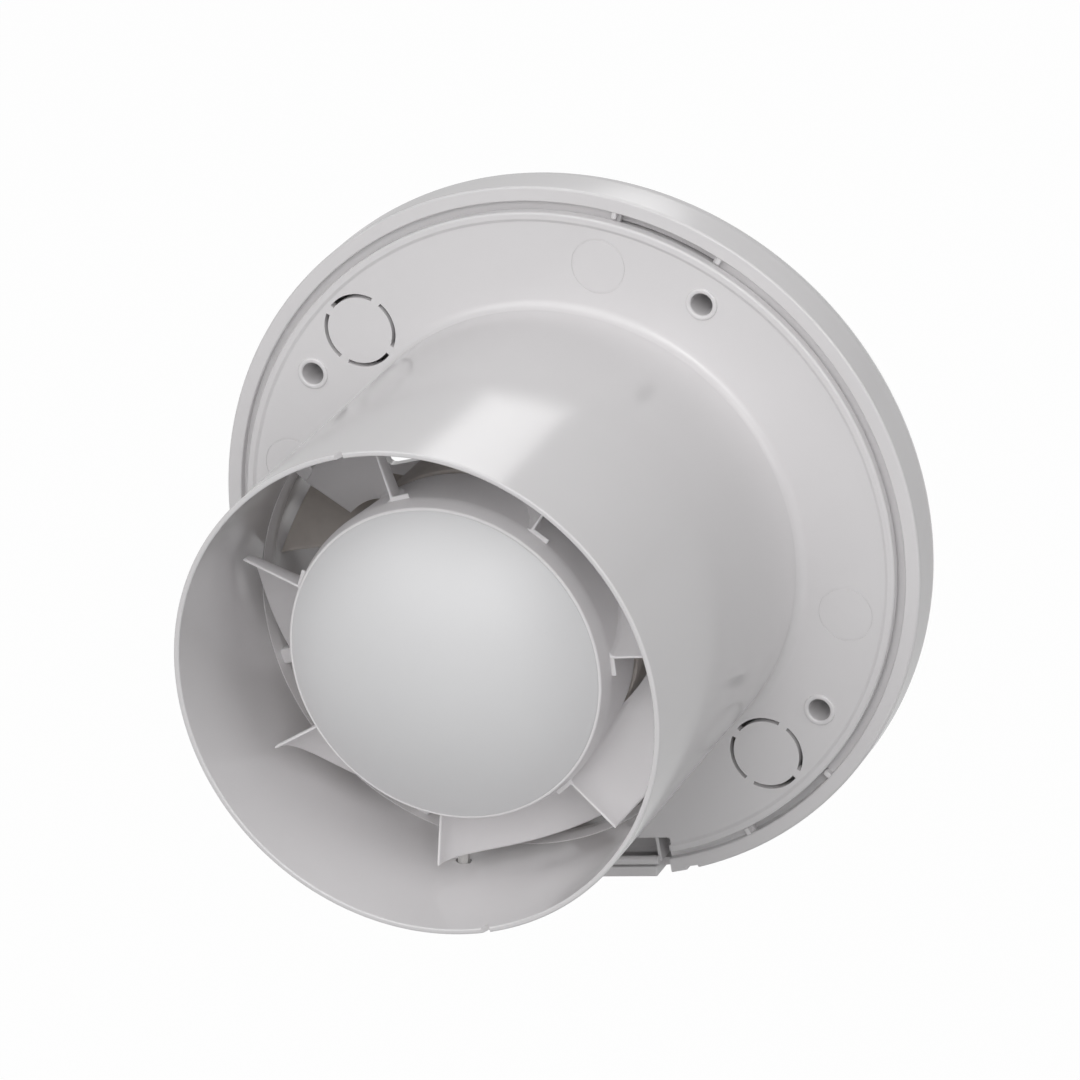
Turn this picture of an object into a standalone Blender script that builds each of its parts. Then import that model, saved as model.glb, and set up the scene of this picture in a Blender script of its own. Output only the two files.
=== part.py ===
"""Round duct exhaust fan: a wall plate with a long duct tube, guide vanes that carry a
motor pod, a mixed-flow impeller on an external-rotor motor, and a front cover with a panel.

Metres, +Z up. The duct axis is the Y axis and +Y points down the duct. The origin is on that
axis in the wall plane, so the room side is -Y. An angle round the axis runs from +X to +Z.
"""

import math

import bmesh
import bpy
import numpy as np
from mathutils import Vector

MM = 0.001
GAP = 0.3 * MM  # clear space between two pieces that touch

# Duct tube
TUBE_RADIUS = 50.0 * MM  # outside, above the fillet where it leaves the plate
TUBE_DRAFT = 0.1 * MM  # how much smaller the tube is at its free end
TUBE_FILLET = 2.0 * MM
TUBE_WALL = 1.1 * MM
TUBE_LENGTH = 82.0 * MM
RIM_NOTCH_WIDTH = 1.8 * MM
RIM_NOTCH_DEPTH = 1.6 * MM
RIM_NOTCH_ANGLES = (90.0, 270.0)

# Intake bell in front of the plate
BELL_START = 10.5 * MM  # in front of the wall plane
BELL_LENGTH = 8.5 * MM
BELL_FLARE = 5.8 * MM

# Wall plate
PLATE_CLEARANCE = 1.8 * MM  # between the plate's edge and the cover's ring
PLATE_THICKNESS = 2.2 * MM
PLATE_RECESS = 0.4 * MM  # plate face behind the bead and bosses that meet the wall
EDGE_BEAD_WIDTH = 1.5 * MM
EDGE_ROUND = 0.5 * MM
RIM_WALL_INSET = 0.9 * MM  # in from the plate's edge
RIM_WALL = 1.4 * MM
RIM_WALL_FRONT = 11.0 * MM

# Screw holes and their bosses
SCREW_INSET = 8.1 * MM  # in from the plate's edge
SCREW_ANGLES = (45.0, 135.0, 225.0, 315.0)
SCREW_HOLE_RADIUS = 2.3 * MM
SCREW_BOSS_RADIUS = 3.3 * MM
SCREW_PILLAR_RADIUS = 4.0 * MM
SCREW_PILLAR_FRONT = 9.0 * MM

# Cable knockouts
KNOCKOUT_TO_TUBE = 1.7 * MM
KNOCKOUT_TO_RIM_WALL = 0.5 * MM
KNOCKOUT_ANGLES = (59.0, 240.0)
KNOCKOUT_SLOT = 0.8 * MM
KNOCKOUT_BRIDGE = 1.9 * MM
KNOCKOUT_TURN = 45.0  # angle of the first bridge, in degrees

# Latch at the bottom edge
LATCH_CENTRE = 9.5 * MM
LATCH_WINDOW_WIDTH = 23.5 * MM
LATCH_WINDOW_INSET = 3.1 * MM  # in from the plate's edge
LATCH_BAR_WIDTH = 17.4 * MM
LATCH_BAR_RADIUS = 0.95 * MM
LATCH_BAR_OUT = 1.4 * MM  # out from the plate's edge
LATCH_BAR_DEPTH = 1.95 * MM  # in front of the wall plane
LATCH_WEB = 1.5 * MM
LATCH_WEB_FRONT = 7.0 * MM
LATCH_WEB_INSET = 5.6 * MM  # in from the plate's edge

# Front cover
COVER_RADIUS = 75.0 * MM
COVER_RING_WIDTH = 3.1 * MM
COVER_BACK = 1.5 * MM  # cover's rear face, in front of the wall plane
COVER_SKIRT_FRONT = 9.5 * MM
COVER_FRONT = 22.0 * MM
COVER_LIP_OUT = 5.0 * MM  # out from the tube
COVER_WALL = 2.0 * MM
COVER_EDGE = 0.3 * MM
RIB_WIDTH = 1.1 * MM
RIB_FRONT = 7.5 * MM
RIB_PAIR_ANGLES = (4.4, 124.4, 244.4)
RIB_HALF_SPREAD = 9.3
LEDGE_DEPTH = 0.8 * MM  # the ledge inside the ring that floors the gap round the plate
LEDGE_WALL = 1.2 * MM
LEDGE_WINDOW_STEP = 3.6  # degrees between the cuts that open the ledge between two ribs
LEDGE_WINDOW_CUT = 4.8 * MM
TAB_WIDTH = 14.2 * MM
TAB_PROUD = 0.1 * MM  # how far the tab stands out of the skirt
TAB_THICKNESS = 2.2 * MM
TAB_SLIT = 3.3 * MM
TAB_SLIT_FRONT = 6.5 * MM
PRY_NOTCH_CENTRE = -5.8 * MM
PRY_NOTCH_WIDTH = 2.8 * MM
PRY_NOTCH_DEPTH = 1.0 * MM
PRY_NOTCH_FRONT = 5.0 * MM

# Front panel and its pegs
PANEL_BORDER = 4.3 * MM  # out from the circle of the pegs
PANEL_BACK = 31.0 * MM
PANEL_WALL = 2.2 * MM
PANEL_RIM = 2.4 * MM
PANEL_CROWN = 2.4 * MM
PANEL_RETURN = 1.4 * MM
PANEL_SLOT_PITCH = 10.3 * MM
PANEL_SLOT_HEIGHT = 6.6 * MM
PANEL_SLOT_BORDER = 9.5 * MM  # in from the panel's edge
PANEL_SLOT_END = 4.0 * MM  # least height of the border above the last row
PANEL_STRUT_PLACE = 20.0 * MM  # each side of the middle
PANEL_STRUT = 3.0 * MM
PEG_CIRCLE_OUT = 9.2 * MM  # out from the tube
PEG_ANGLES = (45.0, 135.0, 225.0, 315.0)
PEG_RADIUS = 2.5 * MM
PEG_SHOULDER_RADIUS = 3.5 * MM
PEG_TIP = 15.8 * MM
SOCKET_WALL = 1.4 * MM
SOCKET_REACH = 15.4 * MM

# Motor pod
POD_RADIUS = 33.2 * MM  # outside, at its shoulder
POD_SHOULDER = 62.4 * MM
POD_DRAFT = 1.3 * MM  # how much smaller the pod is at its front
POD_WALL = 1.6 * MM
POD_FRONT = 45.5 * MM
POD_BACK = 66.0 * MM
POD_BACK_RADIUS = 32.4 * MM
BULKHEAD = 2.0 * MM
BULKHEAD_HOLE_RADIUS = 14.5 * MM
DOME_RADIUS = 31.9 * MM
DOME_HEIGHT = 10.7 * MM
DOME_WALL = 1.5 * MM
DOME_EDGE = 0.4 * MM
DOME_SKIRT_LENGTH = 3.8 * MM
DOME_SKIRT_WALL = 1.2 * MM

# Guide vanes
VANE_COUNT = 7
VANE_FIRST_ANGLE = 85.85
VANE_SWEEP = 40.5  # degrees from the rear edge to the front edge
VANE_THICKNESS = 1.1 * MM
VANE_TIP_GAP = 2.85 * MM  # between the vanes and the tube
VANE_FRONT = 37.6 * MM
VANE_BACK_AT_POD = 62.2 * MM
VANE_BACK_AT_TIP = 61.3 * MM
VANE_FRONT_INNER_RADIUS = 35.0 * MM
VANE_ROOT_DEPTH = 0.8 * MM
VANE_RING_DEPTH = 1.3 * MM  # the ring that joins the vanes' front corners, in from the tube
VANE_RING_FRONT = 36.4 * MM
VANE_RING_BACK = 41.0 * MM
VANE_LUG_WIDTH = 4.0 * MM  # the lug that joins a vane's front corner to the ring
VANE_LUG_LENGTH = 3.2 * MM
FOOT_LENGTH = 3.0 * MM
FOOT_HEIGHT = 0.9 * MM
FOOT_THICKNESS = 0.8 * MM

# Impeller
HUB_RADIUS = 32.0 * MM
HUB_LENGTH = 52.2 * MM  # from the hub's rear edge to the tip of its nose
HUB_BACK = 43.7 * MM
HUB_DRUM = 20.3 * MM  # length of the straight part at the rear
HUB_WALL = 1.5 * MM
NOSE_SPLIT = 4.0 * MM  # where the nose cap ends
NOSE_SKIRT_LENGTH = 3.0 * MM
NOSE_SKIRT_WALL = 1.2 * MM
HUB_WEB_BACK = 15.0 * MM
HUB_WEB = 2.0 * MM
BLADE_COUNT = 6
BLADE_TIP_GAP = 1.2 * MM
BLADE_THICKNESS = 1.4 * MM
BLADE_FIRST_ANGLE = 31.5  # its rear edge at the hub
BLADE_SWEEP = 16.5  # degrees from the rear edge to the front edge at the hub
BLADE_SWEEP_GROWTH = 3.24  # further degrees, with the square of the way forward
BLADE_LEAN = -10.0  # degrees from hub to tip
BLADE_FRONT_AT_HUB = 18.5 * MM
BLADE_FRONT_AT_TIP = 21.0 * MM
BLADE_BACK_AT_HUB = 35.0 * MM
BLADE_BACK_AT_TIP = 34.4 * MM
BLADE_ROOT_DEPTH = 0.7 * MM
NUT_RADIUS = 4.6 * MM
NUT_HEIGHT = 3.0 * MM

# Motor
SHAFT_RADIUS = 2.5 * MM
SHAFT_FRONT = 8.5 * MM
SHAFT_BACK = 44.0 * MM
FLANGE_RADIUS = 26.0 * MM
FLANGE_THICKNESS = 2.0 * MM
BEARING_TUBE_WALL = 2.0 * MM
BEARING_TUBE_FRONT = 18.0 * MM
BEARING_RADIUS = 8.0 * MM
BEARING_WIDTH = 5.0 * MM
BEARING_RACE_WALL_OUTER = 1.7 * MM
BEARING_RACE_WALL_INNER = 1.1 * MM
BALL_COUNT = 7
CAGE_WIDTH = 1.4 * MM
CAGE_HEIGHT = 0.7 * MM
BEARING_STEP_HOLE = 6.0 * MM
FRONT_BEARING_FRONT = 18.5 * MM
REAR_BEARING_FRONT = 37.0 * MM
CIRCLIP_THICKNESS = 0.7 * MM
CIRCLIP_RADIUS = 4.6 * MM
CIRCLIP_MOUTH = 3.0 * MM
CORE_RADIUS = 18.6 * MM
CORE_FRONT = 24.0 * MM
CORE_LENGTH = 11.0 * MM
SLOT_COUNT = 6
SLOT_WIDTH = 3.8 * MM
SLOT_FLOOR = 12.6 * MM
WINDING_INNER = 13.0 * MM
WINDING_OUTER = 17.6 * MM
WINDING_OVERHANG = 3.7 * MM
AIR_GAP = 0.5 * MM
MAGNET_THICKNESS = 3.1 * MM
MAGNET_FRONT = 22.0 * MM
MAGNET_LENGTH = 15.0 * MM
CUP_WALL = 1.4 * MM
CUP_FLOOR = 1.5 * MM
CUP_BACK = 41.0 * MM

# Lead from the winding to the board, through the flange and the bulkhead
WINDING_LEAD_RADIUS = 0.75 * MM
WINDING_LEAD_CIRCLE = 13.4 * MM
WINDING_LEAD_ANGLE = 30.0

# Motor screws and rubber mounts
MOTOR_SCREW_CIRCLE = 20.0 * MM
MOTOR_SCREW_ANGLES = (90.0, 210.0, 330.0)
MOTOR_SCREW_RADIUS = 1.6 * MM
MOTOR_SCREW_HEAD_RADIUS = 3.0 * MM
MOTOR_SCREW_HEAD = 2.2 * MM
MOUNT_NECK_WALL = 1.2 * MM
MOUNT_COLLAR_RADIUS = 5.0 * MM
MOUNT_COLLAR = 1.2 * MM

# Electronics in the pod
BOARD_RADIUS = 29.5 * MM
BOARD_THICKNESS = 1.6 * MM
BOARD_FRONT = 54.0 * MM
BOARD_SCREW_CIRCLE = 26.5 * MM
BOARD_SCREW_ANGLES = (30.0, 150.0, 270.0)
BOARD_SCREW_RADIUS = 1.1 * MM
BOARD_SCREW_HEAD_RADIUS = 2.4 * MM
BOARD_SCREW_HEAD = 1.6 * MM
BOARD_SCREW_LENGTH = 3.4 * MM  # below the board's front face
BOARD_PILLAR_RADIUS = 2.6 * MM
CAPACITOR_RADIUS = 5.0 * MM
CAPACITOR_HEIGHT = 12.5 * MM
CAPACITOR_PLACE = (12.0 * MM, 6.0 * MM)
CHOKE_SIZE = (11.0 * MM, 10.0 * MM, 9.0 * MM)
CHOKE_PLACE = (-11.0 * MM, 6.0 * MM)
RECTIFIER_SIZE = (9.0 * MM, 6.0 * MM, 4.0 * MM)
RECTIFIER_PLACE = (0.0, -12.0 * MM)
CONNECTOR_SIZE = (8.0 * MM, 3.6 * MM, 7.0 * MM)
CONNECTOR_RADIUS_PLACE = 20.0 * MM

# Motor lead and its channel along the tube
LEAD_VANE = 3  # steps from the first guide vane to the one that the lead runs beside
LEAD_FROM_VANE_ANGLE = 5.742  # degrees from that vane, at the lead's depth
LEAD_RADIUS = 1.2 * MM
LEAD_DEPTH = 51.4 * MM  # where it crosses from the pod to the tube
LEAD_BEND = 2.0 * MM
LEAD_RUN_OUT = 2.0 * MM  # out from the tube
LEAD_HOLE_RADIUS = 1.6 * MM
CHANNEL_CLEARANCE = 0.45 * MM
CHANNEL_WALL = 1.3 * MM
CHANNEL_END = 2.5 * MM  # past the lead
LEAD_EASE = 6.0 * MM  # how far the lead carries on its way before it turns to the terminals

# Terminal block
TERMINAL_ANGLE = -97.0
TERMINAL_FROM_TUBE = 1.5 * MM
TERMINAL_ROOM_SHARE = 0.5  # part of the room between tube and rim wall that the block fills
TERMINAL_DEPTH = 9.6 * MM
TERMINAL_LENGTH = 24.0 * MM
TERMINAL_PITCH = 8.0 * MM
TERMINAL_WELL_RADIUS = 1.8 * MM
TERMINAL_WELL_DEPTH = 5.5 * MM
TERMINAL_SCREW_RADIUS = 1.5 * MM
TERMINAL_SCREW_HEIGHT = 4.0 * MM
TERMINAL_SCREW_SLOT = 0.6 * MM
WIRE_ENTRY_RADIUS = 1.5 * MM
WIRE_ENTRY_DEPTH = 6.0 * MM
FIXING_SCREW_RADIUS = 0.9 * MM
FIXING_SCREW_HEAD_RADIUS = 1.6 * MM
FIXING_SCREW_HEAD = 1.2 * MM
FIXING_SCREW_BITE = 1.3 * MM  # into the plate

# Facets
FINE_COUNT = 40
MEDIUM_COUNT = 28
COARSE_COUNT = 14
SMALL_COUNT = 8
MERGE = 0.00001
PROFILE_TURN = math.radians(1.1)
OVERLAP = 0.6 * MM  # how deep shapes that are joined run into each other
BEYOND = 2.0 * MM  # how far a cutter runs past the face that it opens

# Places that several pieces share
PLATE_BACK_Y = -PLATE_RECESS
PLATE_FRONT_Y = PLATE_BACK_Y - PLATE_THICKNESS
COVER_BACK_Y = -COVER_BACK
COVER_INNER_RADIUS = COVER_RADIUS - COVER_RING_WIDTH
COVER_LIP_RADIUS = TUBE_RADIUS + COVER_LIP_OUT
PEG_CIRCLE_RADIUS = TUBE_RADIUS + PEG_CIRCLE_OUT
PANEL_RADIUS = PEG_CIRCLE_RADIUS + PANEL_BORDER
TAB_OUTSIDE = COVER_RADIUS + TAB_PROUD
PLATE_RADIUS = COVER_INNER_RADIUS - PLATE_CLEARANCE
RIM_WALL_RADIUS = PLATE_RADIUS - RIM_WALL_INSET
SCREW_CIRCLE_RADIUS = PLATE_RADIUS - SCREW_INSET
KNOCKOUT_INNER_REACH = TUBE_RADIUS + KNOCKOUT_TO_TUBE
KNOCKOUT_OUTER_REACH = RIM_WALL_RADIUS - RIM_WALL - KNOCKOUT_TO_RIM_WALL
KNOCKOUT_RADIUS = (KNOCKOUT_OUTER_REACH - KNOCKOUT_INNER_REACH) / 2
KNOCKOUT_CIRCLE_RADIUS = (KNOCKOUT_OUTER_REACH + KNOCKOUT_INNER_REACH) / 2
LATCH_WINDOW_TOP = PLATE_RADIUS - LATCH_WINDOW_INSET  # below the axis, as are the next two
LATCH_BAR_DROP = PLATE_RADIUS + LATCH_BAR_OUT
LATCH_WEB_TOP = PLATE_RADIUS - LATCH_WEB_INSET
VANE_TIP_RADIUS = TUBE_RADIUS - TUBE_WALL - VANE_TIP_GAP
VANE_RING_INNER_RADIUS = TUBE_RADIUS - TUBE_WALL - VANE_RING_DEPTH
LEAD_RUN_RADIUS = TUBE_RADIUS + LEAD_RUN_OUT
LEAD_WAY = (VANE_BACK_AT_POD - LEAD_DEPTH) / (VANE_BACK_AT_POD - VANE_FRONT)
LEAD_VANE_ANGLE = VANE_FIRST_ANGLE - 360.0 * LEAD_VANE / VANE_COUNT - VANE_SWEEP * LEAD_WAY**2
LEAD_ANGLE = LEAD_VANE_ANGLE + LEAD_FROM_VANE_ANGLE
RIM_WALL_AT_BLOCK_END = math.sqrt((RIM_WALL_RADIUS - RIM_WALL) ** 2 - (TERMINAL_LENGTH / 2) ** 2)
TERMINAL_WIDTH = (RIM_WALL_AT_BLOCK_END - TUBE_RADIUS) * TERMINAL_ROOM_SHARE
TERMINAL_SIZE = (TERMINAL_WIDTH, TERMINAL_DEPTH, TERMINAL_LENGTH)
TERMINAL_RADIUS_PLACE = TUBE_RADIUS + TERMINAL_FROM_TUBE + TERMINAL_WIDTH / 2
FLANGE_BACK_Y = POD_FRONT - GAP - MOUNT_COLLAR - GAP
FLANGE_FRONT_Y = FLANGE_BACK_Y - FLANGE_THICKNESS
BULKHEAD_BACK_Y = POD_FRONT + BULKHEAD
POD_INNER_RADIUS = POD_RADIUS - POD_DRAFT - POD_WALL
BEARING_TUBE_INNER = BEARING_RADIUS + GAP
BEARING_TUBE_OUTER = BEARING_TUBE_INNER + BEARING_TUBE_WALL
MAGNET_INNER = CORE_RADIUS + AIR_GAP
CUP_INNER = MAGNET_INNER + MAGNET_THICKNESS + GAP
CUP_FRONT_Y = HUB_WEB_BACK + GAP
SHAFT_HOLE_RADIUS = SHAFT_RADIUS + GAP
NOSE_Y = HUB_BACK - HUB_LENGTH
DRUM_FRONT_Y = HUB_BACK - HUB_DRUM
NOSE_LENGTH = HUB_LENGTH - HUB_DRUM
BOARD_BACK_Y = BOARD_FRONT + BOARD_THICKNESS
TERMINAL_BACK_Y = PLATE_FRONT_Y - GAP
TERMINAL_FRONT_Y = TERMINAL_BACK_Y - TERMINAL_SIZE[1]


# Scene and materials


def clear_scene():
    for obj in list(bpy.data.objects):
        bpy.data.objects.remove(obj, do_unlink=True)


def new_collection(name, parent, hidden=False):
    collection = bpy.data.collections.new(name)
    parent.children.link(collection)
    collection.hide_render = hidden
    return collection


def new_material(name, colour, roughness, metallic=0.0):
    material = bpy.data.materials.new(name)
    material.use_nodes = True
    shader = material.node_tree.nodes["Principled BSDF"]
    shader.inputs["Base Color"].default_value = (*colour, 1.0)
    shader.inputs["Roughness"].default_value = roughness
    shader.inputs["Metallic"].default_value = metallic
    material.diffuse_color = (*colour, 1.0)
    return material


def add_object(name, mesh, collection, material=None):
    obj = bpy.data.objects.new(name, mesh)
    collection.objects.link(obj)
    if material:
        mesh.materials.append(material)
    if collection.hide_render or collection is not PARTS:
        obj.hide_render = True
        obj.display_type = "WIRE"
    return obj


def polar(radius, angle, depth):
    """A point at this distance from the duct axis, angle in degrees and depth along +Y."""
    turn = math.radians(angle)
    return Vector((radius * math.cos(turn), depth, radius * math.sin(turn)))


# Basic shapes


def turned(name, outline, steps, collection, material=None, closed=True):
    """Spin a (radius, depth) outline round the Y axis through the object's origin.

    A closed outline is a loop clear of the axis. An open one starts and ends on the axis.
    It is drawn a little off the X axis, so that no cutter's corner meets a facet's edge.
    """
    area = sum(
        a[0] * b[1] - b[0] * a[1] for a, b in zip(outline, outline[1:] + outline[:1])
    )
    if area > 0:
        outline = outline[::-1]
    count = len(outline)
    edges = [(i, i + 1) for i in range(count - 1)]
    if closed:
        edges.append((count - 1, 0))
    mesh = bpy.data.meshes.new(name)
    across, up = math.cos(PROFILE_TURN), math.sin(PROFILE_TURN)
    mesh.from_pydata([(r * across, y, r * up) for r, y in outline], edges, [])
    obj = add_object(name, mesh, collection, material)
    screw = obj.modifiers.new("Turn", "SCREW")
    screw.axis = "Y"
    screw.steps = steps
    screw.render_steps = steps
    screw.use_merge_vertices = True
    screw.merge_threshold = MERGE
    screw.use_smooth_shade = True
    return obj


def finished_mesh(name, shape):
    bmesh.ops.recalc_face_normals(shape, faces=shape.faces)
    mesh = bpy.data.meshes.new(name)
    shape.to_mesh(mesh)
    shape.free()
    return mesh


def rod(name, radius, start, end, steps, collection, material=None, centre=(0.0, 0.0)):
    """A round bar along Y from depth start to depth end, at (x, z) centre."""
    shape = bmesh.new()
    bmesh.ops.create_cone(
        shape,
        cap_ends=True,
        segments=steps,
        radius1=radius,
        radius2=radius,
        depth=abs(end - start),
    )
    obj = add_object(name, finished_mesh(name, shape), collection, material)
    obj.rotation_euler = (-math.pi / 2, 0.0, 0.0)
    obj.location = (centre[0], (start + end) / 2, centre[1])
    return obj


def radial_rod(name, radius, inner, outer, angle, depth, steps, collection, squash=1.0):
    """A round bar that points away from the axis. squash stretches its section along Y."""
    shape = bmesh.new()
    bmesh.ops.create_cone(
        shape,
        cap_ends=True,
        segments=steps,
        radius1=radius,
        radius2=radius,
        depth=outer - inner,
    )
    bmesh.ops.scale(shape, vec=(1.0, squash, 1.0), verts=shape.verts)
    obj = add_object(name, finished_mesh(name, shape), collection)
    obj.rotation_euler = (0.0, math.radians(90.0 - angle), 0.0)
    obj.location = polar((inner + outer) / 2, angle, depth)
    return obj


def block(name, size, centre, collection, material=None, angle=0.0):
    """A box whose first side points away from the axis at this angle, and second along Y."""
    shape = bmesh.new()
    bmesh.ops.create_cube(shape, size=1.0)
    bmesh.ops.scale(shape, vec=size, verts=shape.verts)
    obj = add_object(name, finished_mesh(name, shape), collection, material)
    obj.rotation_euler = (0.0, -math.radians(angle), 0.0)
    obj.location = centre
    return obj


def span_block(name, xs, ys, zs, collection):
    """A box from its lowest and highest x, y and z."""
    size = tuple(high - low for low, high in (xs, ys, zs))
    centre = tuple((low + high) / 2 for low, high in (xs, ys, zs))
    return block(name, size, centre, collection)


def ruled_sheet(name, point, chord_steps, span_steps, thickness, collection):
    """An open sheet whose points are point(along the chord, along the span), made solid."""
    rows = [
        [point(i / chord_steps, j / span_steps) for j in range(span_steps + 1)]
        for i in range(chord_steps + 1)
    ]
    width = span_steps + 1
    faces = [
        (i * width + j, i * width + j + 1, (i + 1) * width + j + 1, (i + 1) * width + j)
        for i in range(chord_steps)
        for j in range(span_steps)
    ]
    mesh = bpy.data.meshes.new(name)
    mesh.from_pydata([co for row in rows for co in row], [], faces)
    obj = add_object(name, mesh, collection)
    wall = obj.modifiers.new("Wall", "SOLIDIFY")
    wall.thickness = thickness
    wall.offset = 0.0
    wall.use_even_offset = True
    return obj


def combine(target, operation, collection):
    """Cut every object of a collection from the target, or join them all to it."""
    modifier = target.modifiers.new(collection.name, "BOOLEAN")
    modifier.operation = operation
    modifier.solver = "EXACT"
    modifier.operand_type = "COLLECTION"
    modifier.collection = collection


def helpers(name):
    return new_collection(name, CUTTERS, hidden=True)


# Sizes that vary along a piece


def tube_outer(depth):
    return TUBE_RADIUS - TUBE_DRAFT * max(depth, 0.0) / TUBE_LENGTH


def tube_inner(depth):
    return tube_outer(depth) - TUBE_WALL


def tube_fillet(steps):
    """The hollow quarter round between the tube and the back of the plate."""
    points = []
    for i in range(steps + 1):
        t = math.pi / 2 * i / steps
        radius = TUBE_RADIUS + TUBE_FILLET * (1.0 - math.cos(t))
        points.append((radius, PLATE_BACK_Y + TUBE_FILLET * (1.0 - math.sin(t))))
    return points


def hub_outer(depth, inset=0.0):
    """A straight drum, then half an ellipse to the nose. inset gives the wall's inner side."""
    share = max(0.0, DRUM_FRONT_Y - depth) / (NOSE_LENGTH - inset)
    return (HUB_RADIUS - inset) * math.sqrt(max(0.0, 1.0 - share * share))


def cover_curve(inset, steps):
    """The cover's front, a quarter of an ellipse from the skirt in to the lip."""
    across = COVER_RADIUS - COVER_LIP_RADIUS
    if inset:
        across = COVER_INNER_RADIUS - COVER_LIP_RADIUS
    deep = COVER_FRONT - COVER_SKIRT_FRONT - inset
    turns = [math.pi / 2 * i / steps for i in range(steps + 1)]
    return [
        (COVER_LIP_RADIUS + across * math.cos(t), -COVER_SKIRT_FRONT - deep * math.sin(t))
        for t in turns
    ]


def bell_curve(offset, steps):
    """The intake bell, a quarter of an ellipse, moved off by a wall thickness."""
    points = []
    for i in range(steps + 1):
        t = math.pi / 2 * i / steps
        radius = TUBE_RADIUS - TUBE_WALL + BELL_FLARE * (1.0 - math.cos(t))
        depth = -BELL_START - BELL_LENGTH * math.sin(t)
        normal = Vector((BELL_LENGTH * math.cos(t), BELL_FLARE * math.sin(t))).normalized()
        points.append((radius + offset * normal.x, depth + offset * normal.y))
    return points


# Rear housing


def make_rear_housing():
    bead_inner = PLATE_RADIUS - EDGE_BEAD_WIDTH
    outline = [
        (tube_outer(TUBE_LENGTH), TUBE_LENGTH),
        *tube_fillet(3),
        (bead_inner, PLATE_BACK_Y),
        (bead_inner, 0.0),
        (PLATE_RADIUS - EDGE_ROUND, 0.0),
        (PLATE_RADIUS, -EDGE_ROUND),
        (PLATE_RADIUS, PLATE_FRONT_Y),
        (RIM_WALL_RADIUS, PLATE_FRONT_Y),
        (RIM_WALL_RADIUS, -RIM_WALL_FRONT),
        (RIM_WALL_RADIUS - RIM_WALL, -RIM_WALL_FRONT),
        (RIM_WALL_RADIUS - RIM_WALL, PLATE_FRONT_Y),
        (TUBE_RADIUS, PLATE_FRONT_Y),
        *bell_curve(TUBE_WALL, 3),
        *bell_curve(0.0, 3)[::-1],
        (tube_inner(TUBE_LENGTH), TUBE_LENGTH),
    ]
    housing = turned("rear_housing", outline, FINE_COUNT, PARTS, WHITE)
    joins = helpers("housing joins")
    cuts = helpers("housing cuts")
    late_joins = helpers("housing late joins")
    add_screw_bosses(joins, cuts)
    add_knockouts(cuts)
    add_lead_channel(joins, cuts)
    add_rim_notches(cuts)
    add_latch(cuts, late_joins)
    add_terminal_pilots(cuts)
    combine(housing, "UNION", joins)
    combine(housing, "DIFFERENCE", cuts)
    combine(housing, "UNION", late_joins)


def add_screw_bosses(joins, cuts):
    for angle in SCREW_ANGLES:
        place = polar(SCREW_CIRCLE_RADIUS, angle, 0.0)
        centre = (place.x, place.z)
        tag = f"{angle:.0f}"
        inside = PLATE_BACK_Y - PLATE_THICKNESS / 2
        rod("boss " + tag, SCREW_BOSS_RADIUS, inside, 0.0, COARSE_COUNT, joins, centre=centre)
        rod(
            "pillar " + tag,
            SCREW_PILLAR_RADIUS,
            -SCREW_PILLAR_FRONT,
            inside,
            COARSE_COUNT,
            joins,
            centre=centre,
        )
        rod(
            "screw hole " + tag,
            SCREW_HOLE_RADIUS,
            -SCREW_PILLAR_FRONT - BEYOND,
            BEYOND,
            COARSE_COUNT,
            cuts,
            centre=centre,
        )


def add_knockouts(cuts):
    """Each knockout disc hangs in the plate by four bridges between curved slots."""
    inner = KNOCKOUT_RADIUS - KNOCKOUT_SLOT
    front = PLATE_FRONT_Y - BEYOND
    outline = [(inner, BEYOND), (KNOCKOUT_RADIUS, BEYOND), (KNOCKOUT_RADIUS, front), (inner, front)]
    for angle in KNOCKOUT_ANGLES:
        tag = f"{angle:.0f}"
        bridges = helpers("knockout bridges " + tag)
        ring = turned("knockout slot " + tag, outline, 24, cuts)
        ring.location = polar(KNOCKOUT_CIRCLE_RADIUS, angle, 0.0)
        reach = 2 * (KNOCKOUT_RADIUS + BEYOND)
        deep = PLATE_THICKNESS + 6 * BEYOND
        for turn in (KNOCKOUT_TURN, KNOCKOUT_TURN + 90.0):
            name = f"bridge {tag} {turn:.0f}"
            size = (reach, deep, KNOCKOUT_BRIDGE)
            block(name, size, ring.location, bridges, angle=turn)
        combine(ring, "DIFFERENCE", bridges)


def add_lead_channel(joins, cuts):
    """A covered channel along the tube carries the motor lead to the front of the plate."""
    room = LEAD_RADIUS + CHANNEL_CLEARANCE
    inner = LEAD_RUN_RADIUS - room
    outer = LEAD_RUN_RADIUS + room
    end = LEAD_DEPTH + CHANNEL_END
    sunk = TUBE_RADIUS - TUBE_WALL / 2
    cover_size = (
        outer + CHANNEL_WALL - sunk,
        end + CHANNEL_WALL - PLATE_BACK_Y + PLATE_THICKNESS / 2,
        2 * (room + CHANNEL_WALL),
    )
    cover_depth = (end + CHANNEL_WALL + PLATE_BACK_Y - PLATE_THICKNESS / 2) / 2
    cover_place = polar((sunk + outer + CHANNEL_WALL) / 2, LEAD_ANGLE, cover_depth)
    block("lead channel", cover_size, cover_place, joins, angle=LEAD_ANGLE)
    front = PLATE_FRONT_Y - BEYOND
    hollow_size = (outer - inner, end - front, 2 * room)
    hollow_place = polar((inner + outer) / 2, LEAD_ANGLE, (end + front) / 2)
    block("lead hollow", hollow_size, hollow_place, cuts, angle=LEAD_ANGLE)
    radial_rod(
        "lead hole",
        LEAD_HOLE_RADIUS,
        tube_inner(LEAD_DEPTH) - BEYOND,
        LEAD_RUN_RADIUS,
        LEAD_ANGLE,
        LEAD_DEPTH,
        SMALL_COUNT,
        cuts,
    )


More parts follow.
